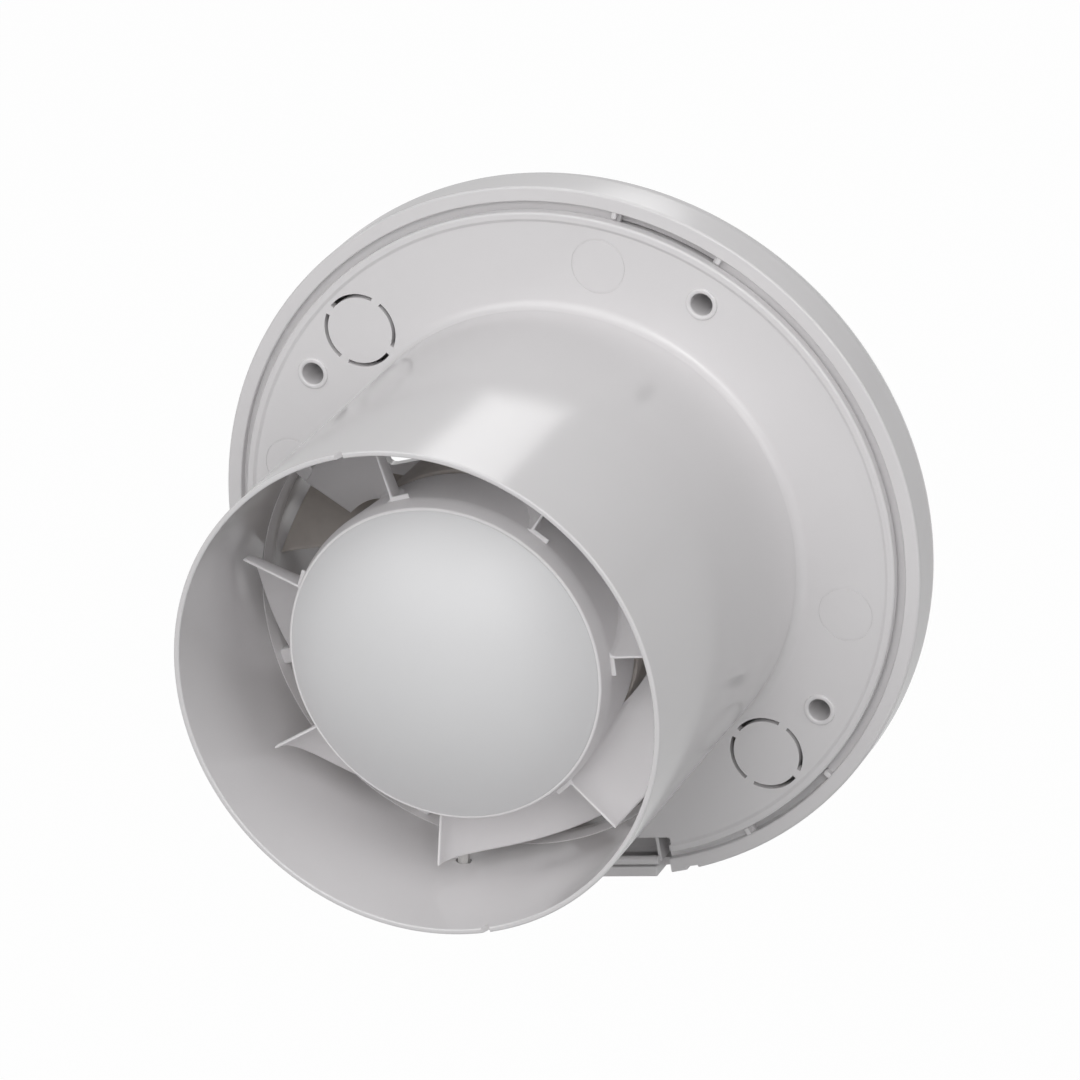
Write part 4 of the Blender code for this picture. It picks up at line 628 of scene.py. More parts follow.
def moulded(name, light, dark, rough, cloud=30.0, grain=0.5, lift=0.006, **fixed):
    """Injection-moulded plastic.

    A slow change of tone, as wide as cloud, comes from the flow of the melt. The grain is the
    polish of the steel mould, of grain's size in millimetres, and lifts the skin by lift.
    """
    material, tree, place = start_material(name)
    flow = add_node(
        tree,
        "ShaderNodeTexNoise",
        inputs={"Vector": place, "Scale": per_mm(cloud), "Detail": 3.0, "Roughness": 0.45},
    )
    tone = add_node(
        tree,
        "ShaderNodeMix",
        {"data_type": "RGBA"},
        {"Factor": flow.outputs["Fac"], 6: linear(light), 7: linear(dark)},
    )
    polish = add_node(
        tree,
        "ShaderNodeTexNoise",
        inputs={"Vector": place, "Scale": per_mm(6.0), "Detail": 4.0},
    )
    shine = add_node(
        tree,
        "ShaderNodeMapRange",
        inputs={"Value": polish.outputs["Fac"], "To Min": rough[0], "To Max": rough[1]},
    )
    skin = add_node(
        tree,
        "ShaderNodeTexNoise",
        inputs={"Vector": place, "Scale": per_mm(grain), "Detail": 2.0},
    )
    bump = add_node(
        tree,
        "ShaderNodeBump",
        inputs={"Height": skin.outputs["Fac"], "Distance": lift * MM, "Strength": 0.6},
    )
    return finish_material(
        material, tree, tone.outputs[2], shine.outputs["Result"], bump.outputs["Normal"], fixed
    )


def shade(channels, amount):
    """The same colour, a little darker."""
    return tuple(c * amount for c in channels)


def banded(name, light, dark, pitch, rough, axis="Y", depth=0.02, spread=0.4, **fixed):
    """A surface of fine lines at a pitch in millimetres, such as laminations or windings."""
    material, tree, place = start_material(name)
    lines = add_node(
        tree,
        "ShaderNodeTexWave",
        {"wave_type": "BANDS", "bands_direction": axis, "wave_profile": "SIN"},
        {"Vector": place, "Scale": 0.314 / (pitch * MM), "Distortion": spread, "Detail": 2.0},
    )
    tone = add_node(
        tree,
        "ShaderNodeMix",
        {"data_type": "RGBA"},
        {"Factor": lines.outputs["Fac"], 6: linear(dark), 7: linear(light)},
    )
    shine = add_node(
        tree,
        "ShaderNodeMapRange",
        inputs={"Value": lines.outputs["Fac"], "To Min": rough[1], "To Max": rough[0]},
    )
    bump = add_node(
        tree,
        "ShaderNodeBump",
        inputs={"Height": lines.outputs["Fac"], "Distance": depth * MM, "Strength": 0.8},
    )
    return finish_material(
        material, tree, tone.outputs[2], shine.outputs["Result"], bump.outputs["Normal"], fixed
    )


def cast_metal(name, light, dark, grit, rough, lift=0.02, **fixed):
    """Bare metal or ferrite whose grit, in millimetres, comes from the die or the grinding."""
    material, tree, place = start_material(name)
    grains = add_node(
        tree,
        "ShaderNodeTexVoronoi",
        {"feature": "SMOOTH_F1"},
        {"Vector": place, "Scale": per_mm(grit), "Smoothness": 0.6},
    )
    stain = add_node(
        tree,
        "ShaderNodeTexNoise",
        inputs={"Vector": place, "Scale": per_mm(4.0), "Detail": 5.0},
    )
    tone = add_node(
        tree,
        "ShaderNodeMix",
        {"data_type": "RGBA"},
        {"Factor": stain.outputs["Fac"], 6: linear(light), 7: linear(dark)},
    )
    shine = add_node(
        tree,
        "ShaderNodeMapRange",
        inputs={"Value": stain.outputs["Fac"], "To Min": rough[0], "To Max": rough[1]},
    )
    bump = add_node(
        tree,
        "ShaderNodeBump",
        inputs={"Height": grains.outputs["Distance"], "Distance": lift * MM, "Strength": 0.5},
    )
    return finish_material(
        material, tree, tone.outputs[2], shine.outputs["Result"], bump.outputs["Normal"], fixed
    )


def material_once(name, maker):
    """The material of this name, made on its first use."""
    return bpy.data.materials.get(name) or maker(name)


def gloss_abs(colours):
    """Gloss ABS off a polished mould: soft mirror images of what stands beside it."""
    return material_once(
        "gloss moulded ABS",
        lambda name: moulded(
            name, colours.shell, shade(colours.shell, 0.985), (0.14, 0.17), **{"IOR": 1.53}
        ),
    )


def satin_abs(part, colour):
    """Satin ABS off a stoned mould: broad soft highlights with no clear image."""
    name = f"satin moulded ABS of the {part}"
    return moulded(name, colour, shade(colour, 0.985), (0.34, 0.42), **{"IOR": 1.53})


def filled_nylon(colours):
    """Glass-filled nylon with the faint mottle of fibres close to the skin; its warm grey, darker
    than the shell, is partly its own tone and partly painted shade for the warm shade deep in the
    duct.
    """
    return material_once(
        "glass-filled moulded nylon",
        lambda name: moulded(
            name,
            colours.impeller,
            shade(colours.impeller, 0.92),
            (0.36, 0.5),
            cloud=3.0,
            grain=0.35,
            lift=0.012,
            **{"IOR": 1.53},
        ),
    )


def zinc_steel(name):
    """Zinc-plated steel: cool grey with slightly cloudy reflections."""
    return cast_metal(
        name, srgb("C9CCCF"), srgb("AEB2B6"), 0.5, (0.24, 0.38), 0.004, **{"Metallic": 1.0}
    )


def ground_steel(name):
    """Ground bearing steel: bright, with fine grinding lines round the axis."""
    return banded(
        name,
        srgb("D4D6D8"),
        srgb("B9BCC0"),
        0.3,
        (0.12, 0.22),
        depth=0.003,
        **{"Metallic": 1.0},
    )


def laminated_steel(name):
    """Stacked core plates 0.5 mm thick: their edges show as fine dark lines."""
    return banded(
        name,
        srgb("8F9398"),
        srgb("4C5056"),
        0.5,
        (0.35, 0.55),
        spread=0.1,
        **{"Metallic": 1.0},
    )


def enamelled_wire(name):
    """Enamelled copper wire 0.4 mm thick: rounded red-brown turns with a lacquer shine."""
    return banded(
        name,
        srgb("C4703A"),
        srgb("6B3114"),
        0.4,
        (0.2, 0.38),
        axis="DIAGONAL",
        depth=0.12,
        spread=1.2,
        **{"Metallic": 0.85, "Coat Weight": 0.5, "Coat Roughness": 0.15},
    )


def ground_ferrite(name):
    """Sintered ferrite: dull dark grey with a fine grit."""
    return cast_metal(name, srgb("4A4A4E"), srgb("38383C"), 0.25, (0.55, 0.7), 0.01)


def cast_aluminium(name):
    """Die-cast aluminium: pale grey, faintly pitted, with broad dull reflections."""
    return cast_metal(
        name, srgb("C6C8CA"), srgb("A9ACAF"), 0.7, (0.38, 0.52), 0.03, **{"Metallic": 1.0}
    )


def turned_brass(name):
    """Turned brass: warm yellow with lathe rings."""
    return banded(
        name, srgb("D6B36A"), srgb("A9843F"), 0.35, (0.2, 0.34), depth=0.01, **{"Metallic": 1.0}
    )


def moulded_rubber(name):
    """Soft moulded rubber: black and dull, with a powdery bloom."""
    return moulded(name, srgb("232324"), srgb("2E2E2F"), (0.75, 0.9), 3.0, 0.25, 0.02)


def moulded_nylon(name):
    """Natural nylon: warm off-white and slightly waxy."""
    return moulded(
        name, srgb("E2DDCE"), srgb("D6D0BE"), (0.38, 0.5), 8.0, 0.4, 0.008, **{"IOR": 1.53}
    )


def pvc_sheath(colours):
    """PVC sheath: mid grey with a soft extruded sheen."""
    return material_once(
        "extruded PVC sheath",
        lambda name: moulded(
            name, colours.lead, shade(colours.lead, 0.9), (0.42, 0.55), 5.0, 0.6, 0.01
        ),
    )


def sleeve_film(name):
    """Shrunk sleeve film on a capacitor can: dark blue with a wet-looking shine."""
    return moulded(name, srgb("20263A"), srgb("171C2C"), (0.16, 0.26), 6.0, 0.9, 0.01)


def black_epoxy(name):
    """Moulded epoxy of a chip package: black with a fine sandy skin."""
    return moulded(name, srgb("1F1F20"), srgb("2A2A2B"), (0.5, 0.62), 2.0, 0.2, 0.015)


def glass_epoxy(colours):
    """Lacquered glass-epoxy board: green, with its glass weave 0.5 mm apart just showing."""

    def maker(name):
        material, tree, place = start_material(name)
        threads = [
            add_node(
                tree,
                "ShaderNodeTexWave",
                {"wave_type": "BANDS", "bands_direction": axis},
                {"Vector": place, "Scale": 0.314 / (0.5 * MM), "Distortion": 0.3},
            ).outputs["Fac"]
            for axis in ("X", "Z")
        ]
        weave = add_node(
            tree, "ShaderNodeMath", {"operation": "MAXIMUM"}, {0: threads[0], 1: threads[1]}
        )
        tone = add_node(
            tree,
            "ShaderNodeMix",
            {"data_type": "RGBA"},
            {
                "Factor": weave.outputs["Value"],
                6: linear(shade(colours.board, 0.8)),
                7: linear(colours.board),
            },
        )
        polish = add_node(
            tree,
            "ShaderNodeTexNoise",
            inputs={"Vector": place, "Scale": per_mm(5.0), "Detail": 3.0},
        )
        shine = add_node(
            tree,
            "ShaderNodeMapRange",
            inputs={"Value": polish.outputs["Fac"], "To Min": 0.2, "To Max": 0.34},
        )
        bump = add_node(
            tree,
            "ShaderNodeBump",
            inputs={"Height": weave.outputs["Value"], "Distance": 0.01 * MM, "Strength": 0.4},
        )
        return finish_material(
            material, tree, tone.outputs[2], shine.outputs["Result"], bump.outputs["Normal"], {}
        )

    return material_once("lacquered glass-epoxy board", maker)


# The rear housing


def bell_curve(offset, inner, steps=24):
    """The intake bell: a quarter of an ellipse, moved off along its normal."""
    t = np.linspace(0.0, math.pi / 2, steps + 1)
    radius = inner + BELL_FLARE * (1 - np.cos(t))
    depth = -BELL_START - BELL_LENGTH * np.sin(t)
    normal = np.stack([BELL_LENGTH * np.cos(t), BELL_FLARE * np.sin(t)], axis=-1)
    normal /= np.linalg.norm(normal, axis=-1, keepdims=True)
    return np.stack([radius, depth], axis=-1) + offset * normal


def housing_outline(sizes):
    """The housing's section: tube, fillet, plate, edge bead, inner wall and intake bell."""
    tube = sizes.tube_radius / MM
    plate = sizes.plate_radius / MM
    rim = sizes.tube_length / MM
    bead = plate - BEAD_WIDTH
    corners = [
        (tube - TUBE_WALL - 0.02, rim, 0.35),
        (tube - 0.03, rim, 0.35),
        (tube, PLATE_BACK, TUBE_FILLET),
        (bead - 0.5, PLATE_BACK, 0.4),
        (bead + 0.1, 0.0, 0.3),
        (plate, 0.0, 0.5),
        (plate, PLATE_FRONT, 0.4),
        (RIM_WALL_RADIUS, PLATE_FRONT, 0.2),
        (RIM_WALL_RADIUS, RIM_WALL_FRONT, 0.4),
        (RIM_WALL_RADIUS - RIM_WALL, RIM_WALL_FRONT, 0.4),
        (RIM_WALL_RADIUS - RIM_WALL, PLATE_FRONT, 0.6),
        (tube, PLATE_FRONT, 0.8),
    ]
    inner = tube - TUBE_WALL
    outside = rounded(corners)
    return np.concatenate(
        [outside, bell_curve(TUBE_WALL, inner), bell_curve(0.0, inner)[::-1]]
    )


def knockout_slots(angle):
    """Four curved slots round a cable knockout, each the space between two arcs."""
    inner, outer = KNOCKOUT_RADIUS - KNOCKOUT_SLOT, KNOCKOUT_RADIUS
    half = KNOCKOUT_BRIDGE / 2 / ((inner + outer) / 2)
    centre = polar(KNOCKOUT_CIRCLE, angle, 0.0)
    slots = []
    for quarter in range(4):
        begin = math.radians(45.0) + quarter * math.pi / 2 + half
        t = np.linspace(begin, begin + math.pi / 2 - 2 * half, 25)
        ring = np.concatenate(
            [
                np.stack([outer * np.cos(t), outer * np.sin(t)], axis=-1),
                np.stack([inner * np.cos(t), inner * np.sin(t)], axis=-1)[::-1],
            ]
        )
        points = np.stack(
            [
                np.stack([ring[:, 0] + centre[0], 0 * ring[:, 0] + y, ring[:, 1] + centre[2]], -1)
                for y in (PLATE_FRONT - 1.0, 1.0)
            ]
        )
        count = len(ring)
        faces = grid_faces(2, count, False, True).tolist()
        for layer in (0, count):
            pairs = np.arange(24)
            quads = np.stack(
                [pairs, pairs + 1, count - 2 - pairs, count - 1 - pairs], axis=-1
            )
            faces += (quads + layer).tolist()
        slots.append((points.reshape(-1, 3), faces))
    return slots


def channel_walls():
    """The cover over the motor lead: two sides, a roof and an end, along the tube."""
    inner, outer = LEAD_CHANNEL
    wall, end = LEAD_CHANNEL_WALL, LEAD_CHANNEL_END
    root, front = LEAD_CHANNEL_ROOT, LEAD_CHANNEL_FRONT
    across = outward(LEAD_ANGLE)
    side = np.cross(across, (0.0, 1.0, 0.0))
    half = (outer - inner) / 2 + wall
    top = outer + wall
    width = 2 * half - 0.4
    middle = polar((root + top) / 2, LEAD_ANGLE, 0.0)
    roof = polar(top - wall / 2, LEAD_ANGLE, 0.0)
    walls = [
        (top - root, wall, middle + side * sign * (half - wall / 2), front) for sign in (-1, 1)
    ]
    walls += [(wall, width, roof, front), (top - root - 0.4, width, middle, end)]
    return [
        bar(
            block_section(tall, wide, 0.3),
            place + (0, start, 0),
            place + (0, end + wall, 0),
            across,
        )
        for tall, wide, place, start in walls
    ]


def terminal_place(along):
    """A point of the terminal block's centre line, measured from its middle."""
    turn = math.radians(TERMINAL_ANGLE)
    tangent = np.array([-math.sin(turn), 0.0, math.cos(turn)])
    return polar(TERMINAL_CIRCLE, TERMINAL_ANGLE, 0.0) + along * tangent


class FAN_OT_rear_housing(bpy.types.Operator):
    """Add the rear housing: wall plate, duct tube and intake bell"""

    bl_idname = "fan.rear_housing"
    bl_label = "Rear housing"

    def execute(self, context):
        sizes = context.scene.fan_sizes
        rim = sizes.tube_length / MM
        cuts, extra = [], []
        for angle in SCREW_ANGLES:
            place = polar(SCREW_CIRCLE, angle, 0.0)
            cuts.append(rod(SCREW_HOLE_RADIUS + 0.5, -6.0, 3.0, place[0], place[2], 0.0))
            boss = rounded(
                [
                    (SCREW_HOLE_RADIUS, SCREW_BOSS_FRONT, 0.2),
                    (SCREW_BOSS_RADIUS, SCREW_BOSS_FRONT, 0.4),
                    (SCREW_BOSS_RADIUS, -1.5, 0.1),
                    (SCREW_RING_RADIUS, -1.5, 0.1),
                    (SCREW_RING_RADIUS, SCREW_RING_BACK, 0.35),
                    (SCREW_HOLE_RADIUS, SCREW_RING_BACK, 0.4),
                ]
            )
            extra.append(turned_at(place, boss, 64))
        for angle in KNOCKOUT_ANGLES:
            cuts += knockout_slots(angle)
        for radius, angle in PIN_MARKS:
            inner = PIN_MARK_RADIUS - PIN_MARK_GROOVE
            outer = PIN_MARK_RADIUS + PIN_MARK_GROOVE
            deep = PLATE_BACK - PIN_MARK_GROOVE
            mark = np.array([[inner, deep], [outer, deep], [outer, 0.5], [inner, 0.5]])
            cuts.append(turned_at(polar(radius, angle, 0.0), mark, 48))
        for angle in RIM_NOTCHES:
            diamond = np.array([[0.9, 0.0], [0.0, 1.6], [-0.9, 0.0], [0.0, -1.6]])
            across = np.cross((0.0, 1.0, 0.0), outward(angle))
            cuts.append(bar(diamond, polar(44, angle, rim), polar(53, angle, rim), across, 0.0))
        half = LATCH_WINDOW / 2
        cuts.append(at_latch(span_block((-half, half), (-14, 3), (-74, LATCH_WINDOW_TOP), 0.4)))
        inner, outer = LEAD_CHANNEL
        hollow = polar((inner + outer) / 2, LEAD_ANGLE, 0.0)
        section = block_section(outer - inner, outer - inner, 0.1)
        cuts.append(
            bar(
                section,
                hollow + (0, -5.0, 0),
                hollow + (0, LEAD_CHANNEL_END, 0),
                outward(LEAD_ANGLE),
                0.0,
            )
        )
        cuts.append(lead_hole(46.0, 52.0))
        for along in (-4.0, 4.0):
            x, _, z = terminal_place(along)
            cuts.append(rod(1.2, -5.0, -1.0, x, z, 0.0, 24))
        extra += channel_walls()
        bar_half = (LATCH_BAR - LATCH_WEB) / 2
        latch_bar = bar(
            round_section(LATCH_BAR_RADIUS, 32),
            (-bar_half, LATCH_BAR_Y, LATCH_BAR_Z),
            (bar_half, LATCH_BAR_Y, LATCH_BAR_Z),
            (0, 1, 0),
            0.1,
        )
        extra.append(at_latch(latch_bar))
        for x in (-bar_half, bar_half):
            web = span_block(
                (x - 0.4, x + 0.4),
                (-7.0, LATCH_BAR_Y - 0.5),
                (LATCH_BAR_Z - 0.47, LATCH_WEB_TOP),
                0.2,
            )
            extra.append(at_latch(web))
        make_piece(
            "rear_housing_shell",
            [turned(housing_outline(sizes))],
            gloss_abs(context.scene.fan_colours),
            "housing",
            ["rear_housing"],
            cuts,
            extra,
        )
        return {"FINISHED"}


# Guide vanes, pod and cap


def vane_camber(start, sizes):
    """The vane's sheet: its angle falls back by sweep times the square of the way forward."""
    radius = sizes.pod_radius / MM
    sweep = math.degrees(sizes.vane_sweep)

    def point(c, s):
        back = VANE_BACK_AT_POD + (VANE_BACK_AT_TIP - VANE_BACK_AT_POD) * s
        depth = back + (VANE_FRONT - back) * c
        root = pod_outer(POD_FRONT, radius) - 0.8
        inner = np.interp(
            depth,
            (VANE_FRONT, POD_FRONT - 0.6, POD_FRONT + 0.6, POD_BACK),
            (VANE_FRONT_INNER, root + 0.8, root, root),
        )
        r = inner + (VANE_TIP_RADIUS - inner) * s
        way = (back - depth) / (back - VANE_FRONT)
        turn = np.radians(start - sweep * way * way)
        return np.stack([r * np.cos(turn), depth, r * np.sin(turn)], axis=-1)

    return point


def vane_shell(start, sizes):
    """A guide vane with rounded edges and a hollow round at its root.

    Its wall is even, but thins in a straight line to half over the last 0.3 of the chord.
    """
    half = sizes.vane_thickness / MM / 2
    camber = vane_camber(start, sizes)
    chord_length, span_length, fillet = 32.0, 14.0, 0.9
    chord = rounded_ways(chord_length, half, 26)
    tip = 1 - half * (1 - np.cos(edge_steps(5))) / span_length
    rows = np.concatenate([[0.0, 0.0], np.linspace(0.03, 0.17, 9), np.linspace(0.22, 0.9, 7)])
    span = np.concatenate([rows, tip[::-1]])
    closed_root = np.ones(len(span))
    closed_root[0] = 0.0

    def thickness(c, s):
        point = camber(c, s)
        r = np.hypot(point[..., 0], point[..., 2])
        off = np.clip(r - pod_outer(point[..., 1], sizes.pod_radius / MM), 0.0, fillet)
        spread = fillet - np.sqrt(fillet**2 - (fillet - off) ** 2)
        spread = np.where(point[..., 1] < POD_FRONT, 0.0, spread)
        edge = round_off(np.minimum(c, 1 - c) * chord_length, half)
        end = round_off((1 - s) * span_length, half)
        taper = 0.5 + 0.5 * np.clip(c / 0.3, 0.0, 1.0)
        return (half * taper + spread) * edge * end * closed_root[:, None]

    return thin_wall(camber, thickness, chord, span)


class FAN_OT_guide_vanes(bpy.types.Operator):
    """Add the guide vanes with the motor pod that they carry"""

    bl_idname = "fan.guide_vanes"
    bl_label = "Guide vanes and pod"

    def execute(self, context):
        sizes = context.scene.fan_sizes
        radius = sizes.pod_radius / MM
        pod = rounded(
            [
                (POD_FRONT_RADIUS, POD_FRONT, 0.4),
                (radius, POD_SHOULDER, 6.0),
                (POD_BACK_RADIUS, POD_BACK, 0.45),
                (POD_INNER_RADIUS, POD_BACK, 0.2),
                (POD_INNER_RADIUS, POD_FRONT + BULKHEAD, 0.5),
                (BULKHEAD_HOLE, POD_FRONT + BULKHEAD, 0.3),
                (BULKHEAD_HOLE, POD_FRONT, 0.3),
            ]
        )
        inner, outer = VANE_RING
        front, back = VANE_RING_DEPTHS
        ring = rounded(
            [
                (VANE_RING_REAR - 0.12, back, 0.0),
                (VANE_RING_REAR, back, 0.0),
                (VANE_RING_REAR, back - 0.15, 0.0),
                (outer, back - 0.8, 0.0),
                (outer, front, 0.15),
                (inner, front, 0.15),
                (inner, back - 2.6, 2.0),
            ]
        )
        extra = [turned(ring)]
        cuts = []
        for angle in MOTOR_SCREW_ANGLES:
            x, _, z = polar(MOTOR_SCREW_CIRCLE, angle, 0.0)
            cuts.append(rod(MOUNT_HOLE_RADIUS, POD_FRONT - 2, POD_FRONT + 4, x, z, 0.0))
        cuts.append(lead_hole(28.0, 36.0))
        for index in range(sizes.vane_count):
            angle = VANE_FIRST_ANGLE - 360.0 * index / sizes.vane_count
            extra.append(vane_shell(angle, sizes))
            side = np.cross(outward(angle), (0.0, 1.0, 0.0))
            foot = polar(radius + 0.05, angle, VANE_BACK_AT_POD - 0.45)
            section = block_section(1.3, 0.5, 0.2)
            extra.append(bar(section, foot, foot + side * 3.8, outward(angle), 0.15))
            turn = angle - VANE_LUG_ANGLE
            section = block_section(2.9, 3.2, 0.5)
            lug = [polar(46.9, turn, depth) for depth in (37.6, 39.8)]
            extra.append(bar(section, *lug, outward(turn), 0.4))
        for angle in BOARD_PILLAR_ANGLES:
            pillar = rounded(
                [
                    (0.0, 50.3, 0.0),
                    (1.4, 50.3, 0.2),
                    (1.4, BOARD_BACK, 0.1),
                    (2.6, BOARD_BACK, 0.2),
                    (2.6, 46.5, 0.2),
                    (0.0, 46.5, 0.0),
                ]
            )
            place = polar(BOARD_PILLAR_CIRCLE, angle, 0.0)
            extra.append(turned_at(place, pillar, 32, closed=False))
        make_piece(
            "guide_vane_stator_shell",
            [turned(pod)],
            # The vanes' colour is lighter than the cap's white: painted light on the vane faces.
            satin_abs("vanes", context.scene.fan_colours.vanes),
            "housing",
            ["guide_vane_stator"],
            cuts,
            extra,
        )
        return {"FINISHED"}


def cap_arc(radius, height, top, limit, steps):
    """Part of a ball's outline from the axis out: depth = top - ball + sqrt(ball^2 - r^2)."""
    ball = (radius**2 + height**2) / (2 * height)
    r = np.linspace(0.0, limit, steps + 1)
    return np.stack([r, top - ball + np.sqrt(ball**2 - r**2)], axis=-1)


class FAN_OT_dome_cap(bpy.types.Operator):
    """Add the domed cap that closes the motor pod"""

    bl_idname = "fan.dome_cap"
    bl_label = "Pod cap"

    def execute(self, context):
        sizes = context.scene.fan_sizes
        radius, height = sizes.dome_radius / MM, sizes.dome_height / MM
        edge = POD_BACK + 0.06
        top = DOME_SEAT + 0.4 + height
        height = top - edge
        outside = cap_arc(radius, height, top, radius - 0.5, 40)
        lip = np.array([[radius - 0.18, edge + 0.18], [radius - 0.03, edge + 0.02]])
        inner, outer = DOME_SPIGOT
        deep = DOME_SEAT - DOME_SPIGOT_LENGTH
        rest = rounded(
            [
                (radius - 0.2, edge + 0.05, 0.0),
                (radius, edge - 0.1, 0.0),
                (radius, POD_BACK + 0.02, 0.02),
                (outer, POD_BACK + 0.02, 0.02),
                (outer, deep, 0.2),
                (inner, deep, 0.2),
                (inner, DOME_SEAT, 0.0),
            ]
        )[2:-1]
        inside = cap_arc(radius, height, top - DOME_WALL, inner, 30)[::-1]
        outline = np.concatenate([outside, lip, rest, inside])
        make_piece(
            "pod_dome_cap_shell",
            [turned(outline, closed=False)],
            satin_abs("cap", context.scene.fan_colours.cap),
            "housing",
            ["pod_dome_cap"],
        )
        return {"FINISHED"}


# Impeller


def blade_shell(start, sizes):
    """An impeller blade: round nose, thin rear edge, and a hollow round at the hub.

    Its angle grows with the way forward w by 16.5 w + 3.24 w squared degrees. The half thickness
    is the blade's half times sqrt(c) (1 - c) * 1.9 + 0.3, rounded off at every edge.
    """
    hub = sizes.hub_radius / MM
    half = sizes.blade_thickness / MM / 2
    chord_length, span_length, fillet = 20.0, 17.0, 1.0
    tip_radius = sizes.tube_radius / MM - TUBE_WALL - BLADE_TIP_GAP

    def camber(c, s):
        front = BLADE_FRONT_AT_HUB + (BLADE_FRONT_AT_TIP - BLADE_FRONT_AT_HUB) * s
        back = BLADE_BACK_AT_HUB + (BLADE_BACK_AT_TIP - BLADE_BACK_AT_HUB) * s
        depth = front + (back - front) * c
        root = hub_outer(depth, hub) - 0.7
        r = root + (tip_radius - root) * s
        way = (BLADE_BACK_AT_HUB - depth) / (BLADE_BACK_AT_HUB - BLADE_FRONT_AT_HUB)
        turn = np.radians(start + 16.5 * way + 3.24 * way**2 + BLADE_LEAN * s)
        return np.stack([r * np.cos(turn), depth, r * np.sin(turn)], axis=-1)

    chord = rounded_ways(chord_length, 0.5, 26)
    tip = 1 - 0.4 * (1 - np.cos(edge_steps(5))) / span_length
    rows = np.concatenate([[0.0, 0.0], np.linspace(0.02, 0.14, 8), np.linspace(0.2, 0.93, 9)])
    span = np.concatenate([rows, tip[::-1]])
    closed_root = np.ones(len(span))
    closed_root[0] = 0.0

    def thickness(c, s):
        point = camber(c, s)
        r = np.hypot(point[..., 0], point[..., 2])
        off = np.clip(r - hub_outer(point[..., 1], hub), 0.0, fillet)
        spread = fillet - np.sqrt(fillet**2 - (fillet - off) ** 2)
        inner = np.clip(c, 0.0, 1.0)
        wall = half * (1.9 * np.sqrt(inner) * (1 - inner) + 0.3) * (1.0 - 0.25 * s)
        edge = round_off(np.minimum(c, 1 - c) * chord_length, 0.5)
        end = round_off((1 - s) * span_length, 0.4)
        return (wall + spread) * edge * end * closed_root[:, None]

    return thin_wall(camber, thickness, chord, span)


class FAN_OT_impeller(bpy.types.Operator):
    """Add the impeller: hub and blades"""

    bl_idname = "fan.impeller"
    bl_label = "Impeller"

    def execute(self, context):
        sizes = context.scene.fan_sizes
        hub = sizes.hub_radius / MM
        front = NOSE_SPLIT + 0.3
        web_front = WEB_BACK - 2.0
        outside = np.append(np.linspace(front, HUB_DRUM_FRONT, 36), [HUB_BACK - 0.3])
        behind = np.append([HUB_BACK - 0.3], np.linspace(HUB_DRUM_FRONT, WEB_BACK, 20))
        outline = np.concatenate(
            [
                np.stack([hub_outer(outside, hub), outside], axis=-1),
                [[hub - 0.3, HUB_BACK], [hub - HUB_WALL + 0.3, HUB_BACK]],
                np.stack([hub_outer(behind, hub, HUB_WALL), behind], axis=-1),
                [[2.8, WEB_BACK], [2.8, web_front]],
                np.stack(
                    [
                        hub_outer(np.array([web_front, front]), hub, HUB_WALL),
                        [web_front, front],
                    ],
                    axis=-1,
                ),
            ]
        )
        blades = [
            blade_shell(BLADE_FIRST_ANGLE + 360.0 * index / sizes.blade_count, sizes)
            for index in range(sizes.blade_count)
        ]
        make_piece(
            "impeller_shell",
            [turned(outline, 192)],
            filled_nylon(context.scene.fan_colours),
            "rotor",
            ["impeller"],
            extra=blades,
        )
        return {"FINISHED"}


class FAN_OT_nose_cap(bpy.types.Operator):
    """Add the nose cap that closes the impeller's hub"""

    bl_idname = "fan.nose_cap"
    bl_label = "Nose cap"

    def execute(self, context):
        hub = context.scene.fan_sizes.hub_radius / MM
        nose = HUB_DRUM_FRONT - HUB_NOSE
        skirt = float(hub_outer(NOSE_SPLIT, hub, HUB_WALL)) - 0.3
        inner = skirt - 1.2
        share = math.sqrt(1 - (inner / (hub - HUB_WALL)) ** 2)
        meets = HUB_DRUM_FRONT - (HUB_NOSE - HUB_WALL) * share
        t = np.linspace(0.0, math.pi / 2, 33)
        outside = nose + (NOSE_SPLIT - nose) * np.sin(t) ** 2
        tip = nose + HUB_WALL
        inside = (tip + (meets - tip) * np.sin(t) ** 2)[::-1]
        outline = np.concatenate(
            [
                np.stack([hub_outer(outside, hub), outside], axis=-1),
                [[skirt, NOSE_SPLIT], [skirt, NOSE_SPLIT + 3.0], [inner, NOSE_SPLIT + 3.0]],
                np.stack([hub_outer(inside, hub, HUB_WALL), inside], axis=-1),
            ]
        )
        make_piece(
            "impeller_nose_cap_shell",
            [turned(outline, 192, closed=False)],
            filled_nylon(context.scene.fan_colours),
            "rotor",
            ["impeller_nose_cap"],
        )
        return {"FINISHED"}


# Front cover and panel


def cover_curve(radius, inset, steps=28):
    """The cover's front: a quarter of an ellipse from the skirt in to the lip."""
    across = radius - COVER_LIP_RADIUS
    deep = SKIRT_FRONT - COVER_FRONT - inset
    t = np.linspace(0.0, math.pi / 2, steps + 1)
    return np.stack(
        [COVER_LIP_RADIUS + across * np.cos(t), SKIRT_FRONT - deep * np.sin(t)], axis=-1
    )


def arc_bar(inner, outer, depths, start, end):
    """The ledge's section carried round the axis from one angle to another."""
    front, back = depths
    corners = zip((inner, outer, outer, inner), (back, back, front, front))
    section = rounded([(r, y, 0.2) for r, y in corners])
    t = np.radians(np.linspace(start, end, 8 + int(abs(end - start))))[:, None]
    r, y = section[:, 0][None], section[:, 1][None]
    points = np.stack([r * np.cos(t), y + 0 * t, r * np.sin(t)], axis=-1)
    return capped(points)


